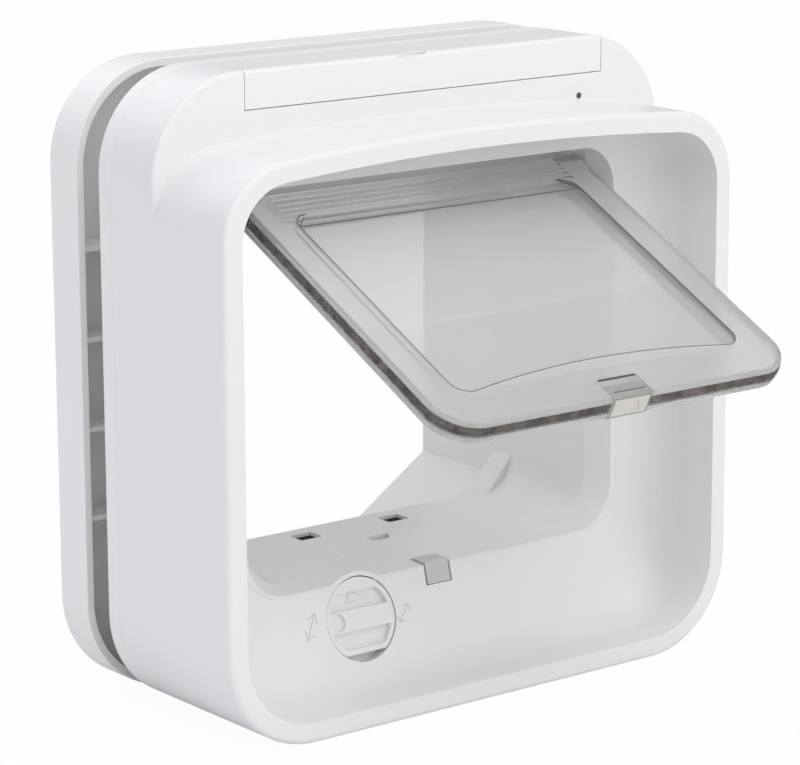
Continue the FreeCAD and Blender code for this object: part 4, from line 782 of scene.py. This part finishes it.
def makeScrews():
    mesh = bmesh.new()
    cutter = bmesh.new()
    for sideX in (-1, 1):
        for sideZ in (-1, 1):
            centre = (sideX * screw["places"], sideZ * screw["places"])
            head, seat, top = screw["head"], screw["seat"], screw["headFrom"]
            core, crest, pitch = screw["core"], screw["crest"], screw["pitch"]
            rise, fall, root = (pitch * share for share in screw["threadAt"])
            profile = [(head * screw["crown"], top), (head * screw["rimReach"], top - screw["rim"]),
                       (head, top - screw["shoulder"]), (head, seat), (core, seat)]
            y = seat - screw["neck"]
            while y > screw["tip"] + screw["runOut"]:
                profile += [(core, y), (crest, y - rise), (crest, y - fall), (core, y - root)]
                y -= pitch
            profile += [(core, screw["tip"] + screw["taper"]), (screw["point"], screw["tip"])]
            addTurned(mesh, centre, profile)
            long, wide = screw["slotHalf"], screw["slotWide"]
            outline = [(long, wide), (wide, wide), (wide, long), (-wide, long), (-wide, wide), (-long, wide),
                       (-long, -wide), (-wide, -wide), (-wide, -long), (wide, -long), (wide, -wide),
                       (long, -wide)]
            prism(cutter, [(centre[0] + x, centre[1] + z) for x, z in outline],
                  top - screw["slotDeep"], top + screw["slotSpare"])
    bmesh.ops.recalc_face_normals(mesh, faces=mesh.faces)
    bmesh.ops.recalc_face_normals(cutter, faces=cutter.faces)
    piece = pieceFrom("crossScrews", mesh, "zincSteel", "indoor_unit")
    data = bpy.data.meshes.new("crossCutter")
    cutter.to_mesh(data)
    cutter.free()
    tool = bpy.data.objects.new("crossCutter", data)
    bpy.context.scene.collection.objects.link(tool)
    recess = piece.modifiers.new("cross", "BOOLEAN")
    recess.operation = "DIFFERENCE"
    recess.object = tool
    recess.solver = "EXACT"
    graph = bpy.context.evaluated_depsgraph_get()
    cutMesh = bpy.data.meshes.new_from_object(piece.evaluated_get(graph))
    piece.modifiers.clear()
    piece.data = cutMesh
    bpy.data.objects.remove(tool)
    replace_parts(piece, "housing_screws")


makeScrews()
print("details made")


# Stage: a pale floor, soft light and the photograph's camera
stage = {
    "floorLevel": -105.1 * mm,
    "floorHalf": 6,
    "floorColour": (0.86, 0.86, 0.855),
    "floorRough": 0.9,
    "floorSeen": 0.96,
    "sky": (0.60, 0.61, 0.645),
    "skyGloss": 0.4,
    "topLamp": {"at": (-0.1, -0.75, 1.4), "power": 10.5, "size": 1.6, "colour": (1.0, 1.0, 0.985)},
    "frontLamp": {"at": (0.6, -1.8, 0.75), "power": 5.9, "size": 1.3, "colour": (1.0, 1.0, 0.98)},
    "sideLamp": {"at": (-1.7, 0.1, 0.3), "power": 1.0, "size": 1.2, "colour": (0.35, 0.5, 1.0)},
    "backLamp": {"at": (-0.16, 1.25, 0.9), "power": 5.4, "size": 1.2, "colour": (0.99, 0.98, 1.0)},
}


def makeFloor():
    mesh = bmesh.new()
    bmesh.ops.create_grid(mesh, x_segments=1, y_segments=1, size=stage["floorHalf"])
    data = bpy.data.meshes.new("floor")
    mesh.to_mesh(data)
    mesh.free()
    floor = bpy.data.objects.new("floor", data)
    bpy.context.scene.collection.objects.link(floor)
    floor.location = (0, 0, stage["floorLevel"])
    finish = Finish("floorPaint")
    finish.surface(Base_Color=tone(stage["floorColour"]), Roughness=stage["floorRough"])
    path = finish.add("ShaderNodeLightPath", output="Is Camera Ray")
    through = Tap(finish, path.socket.node.outputs["Is Transmission Ray"])
    seen = finish.add("ShaderNodeMath", {"operation": "MAXIMUM"}, {0: path, 1: through})
    glow = finish.add("ShaderNodeEmission", {}, {"Color": (1, 1, 1, 1), "Strength": 1.0})
    mixed = finish.add("ShaderNodeMixShader", {}, {0: seen * stage["floorSeen"],
                                                   1: Tap(finish, finish.shader.outputs[0]), 2: glow})
    finish.links.new(mixed.socket, finish.nodes["Material Output"].inputs["Surface"])
    data.materials.append(finish.owner)


def makeSky():
    world = bpy.data.worlds.new("studio")
    bpy.context.scene.world = world
    finish = Finish("studio", world)
    finish.nodes.clear()
    light = finish.add("ShaderNodeBackground", {}, {"Color": tone(stage["sky"]), "Strength": 1.0})
    white = finish.add("ShaderNodeBackground", {}, {"Color": (1, 1, 1, 1), "Strength": 1.0})
    path = finish.add("ShaderNodeLightPath", output="Is Camera Ray")
    gloss = Tap(finish, path.socket.node.outputs["Is Glossy Ray"])
    dim = finish.add("ShaderNodeBackground", {},
                     {"Color": tone(stage["sky"], stage["skyGloss"]), "Strength": 1.0})
    light = finish.add("ShaderNodeMixShader", {}, {0: gloss, 1: light, 2: dim})
    through = Tap(finish, path.socket.node.outputs["Is Transmission Ray"])
    seen = finish.add("ShaderNodeMath", {"operation": "MAXIMUM"}, {0: path, 1: through})
    mixed = finish.add("ShaderNodeMixShader", {}, {0: seen, 1: light, 2: white})
    output = finish.nodes.new("ShaderNodeOutputWorld")
    finish.links.new(mixed.socket, output.inputs["Surface"])


def makeLamp(name):
    look = stage[name]
    lamp = bpy.data.lights.new(name, "AREA")
    lamp.energy = look["power"]
    lamp.size = look["size"]
    lamp.color = look["colour"]
    item = bpy.data.objects.new(name, lamp)
    bpy.context.scene.collection.objects.link(item)
    item.location = look["at"]
    item.rotation_mode = "QUATERNION"
    item.rotation_quaternion = Vector(look["at"]).to_track_quat("Z", "Y")


def makeCamera():
    view = {"azimuth": 38.13, "elevation": 12.78, "roll": -0.0041, "at": (-0.6716, -0.8749, 0.2401),
            "focalPixels": 3336.3, "picture": 800, "sensor": 36,
            "clip": (0.01, 30)}
    azimuth, elevation = math.radians(view["azimuth"]), math.radians(view["elevation"])
    look = Vector((math.sin(azimuth) * math.cos(elevation), math.cos(azimuth) * math.cos(elevation),
                   -math.sin(elevation)))
    right = Vector((math.cos(azimuth), -math.sin(azimuth), 0))
    up = right.cross(look)
    cosine, sine = math.cos(view["roll"]), math.sin(view["roll"])
    across = right * cosine + up * sine
    rise = up * cosine - right * sine
    data = bpy.data.cameras.new("photoCamera")
    data.sensor_width = view["sensor"]
    data.lens = view["focalPixels"] * view["sensor"] / view["picture"]
    data.clip_start, data.clip_end = view["clip"]
    camera = bpy.data.objects.new("photoCamera", data)
    bpy.context.scene.collection.objects.link(camera)
    turn = Matrix((across, rise, -look)).transposed().to_4x4()
    camera.matrix_world = Matrix.Translation(Vector(view["at"])) @ turn
    bpy.context.scene.camera = camera


makeFloor()
makeSky()
for lampName in ("topLamp", "frontLamp", "sideLamp", "backLamp"):
    makeLamp(lampName)
makeCamera()
bpy.context.scene.view_settings.view_transform = "Standard"
print("stage made")
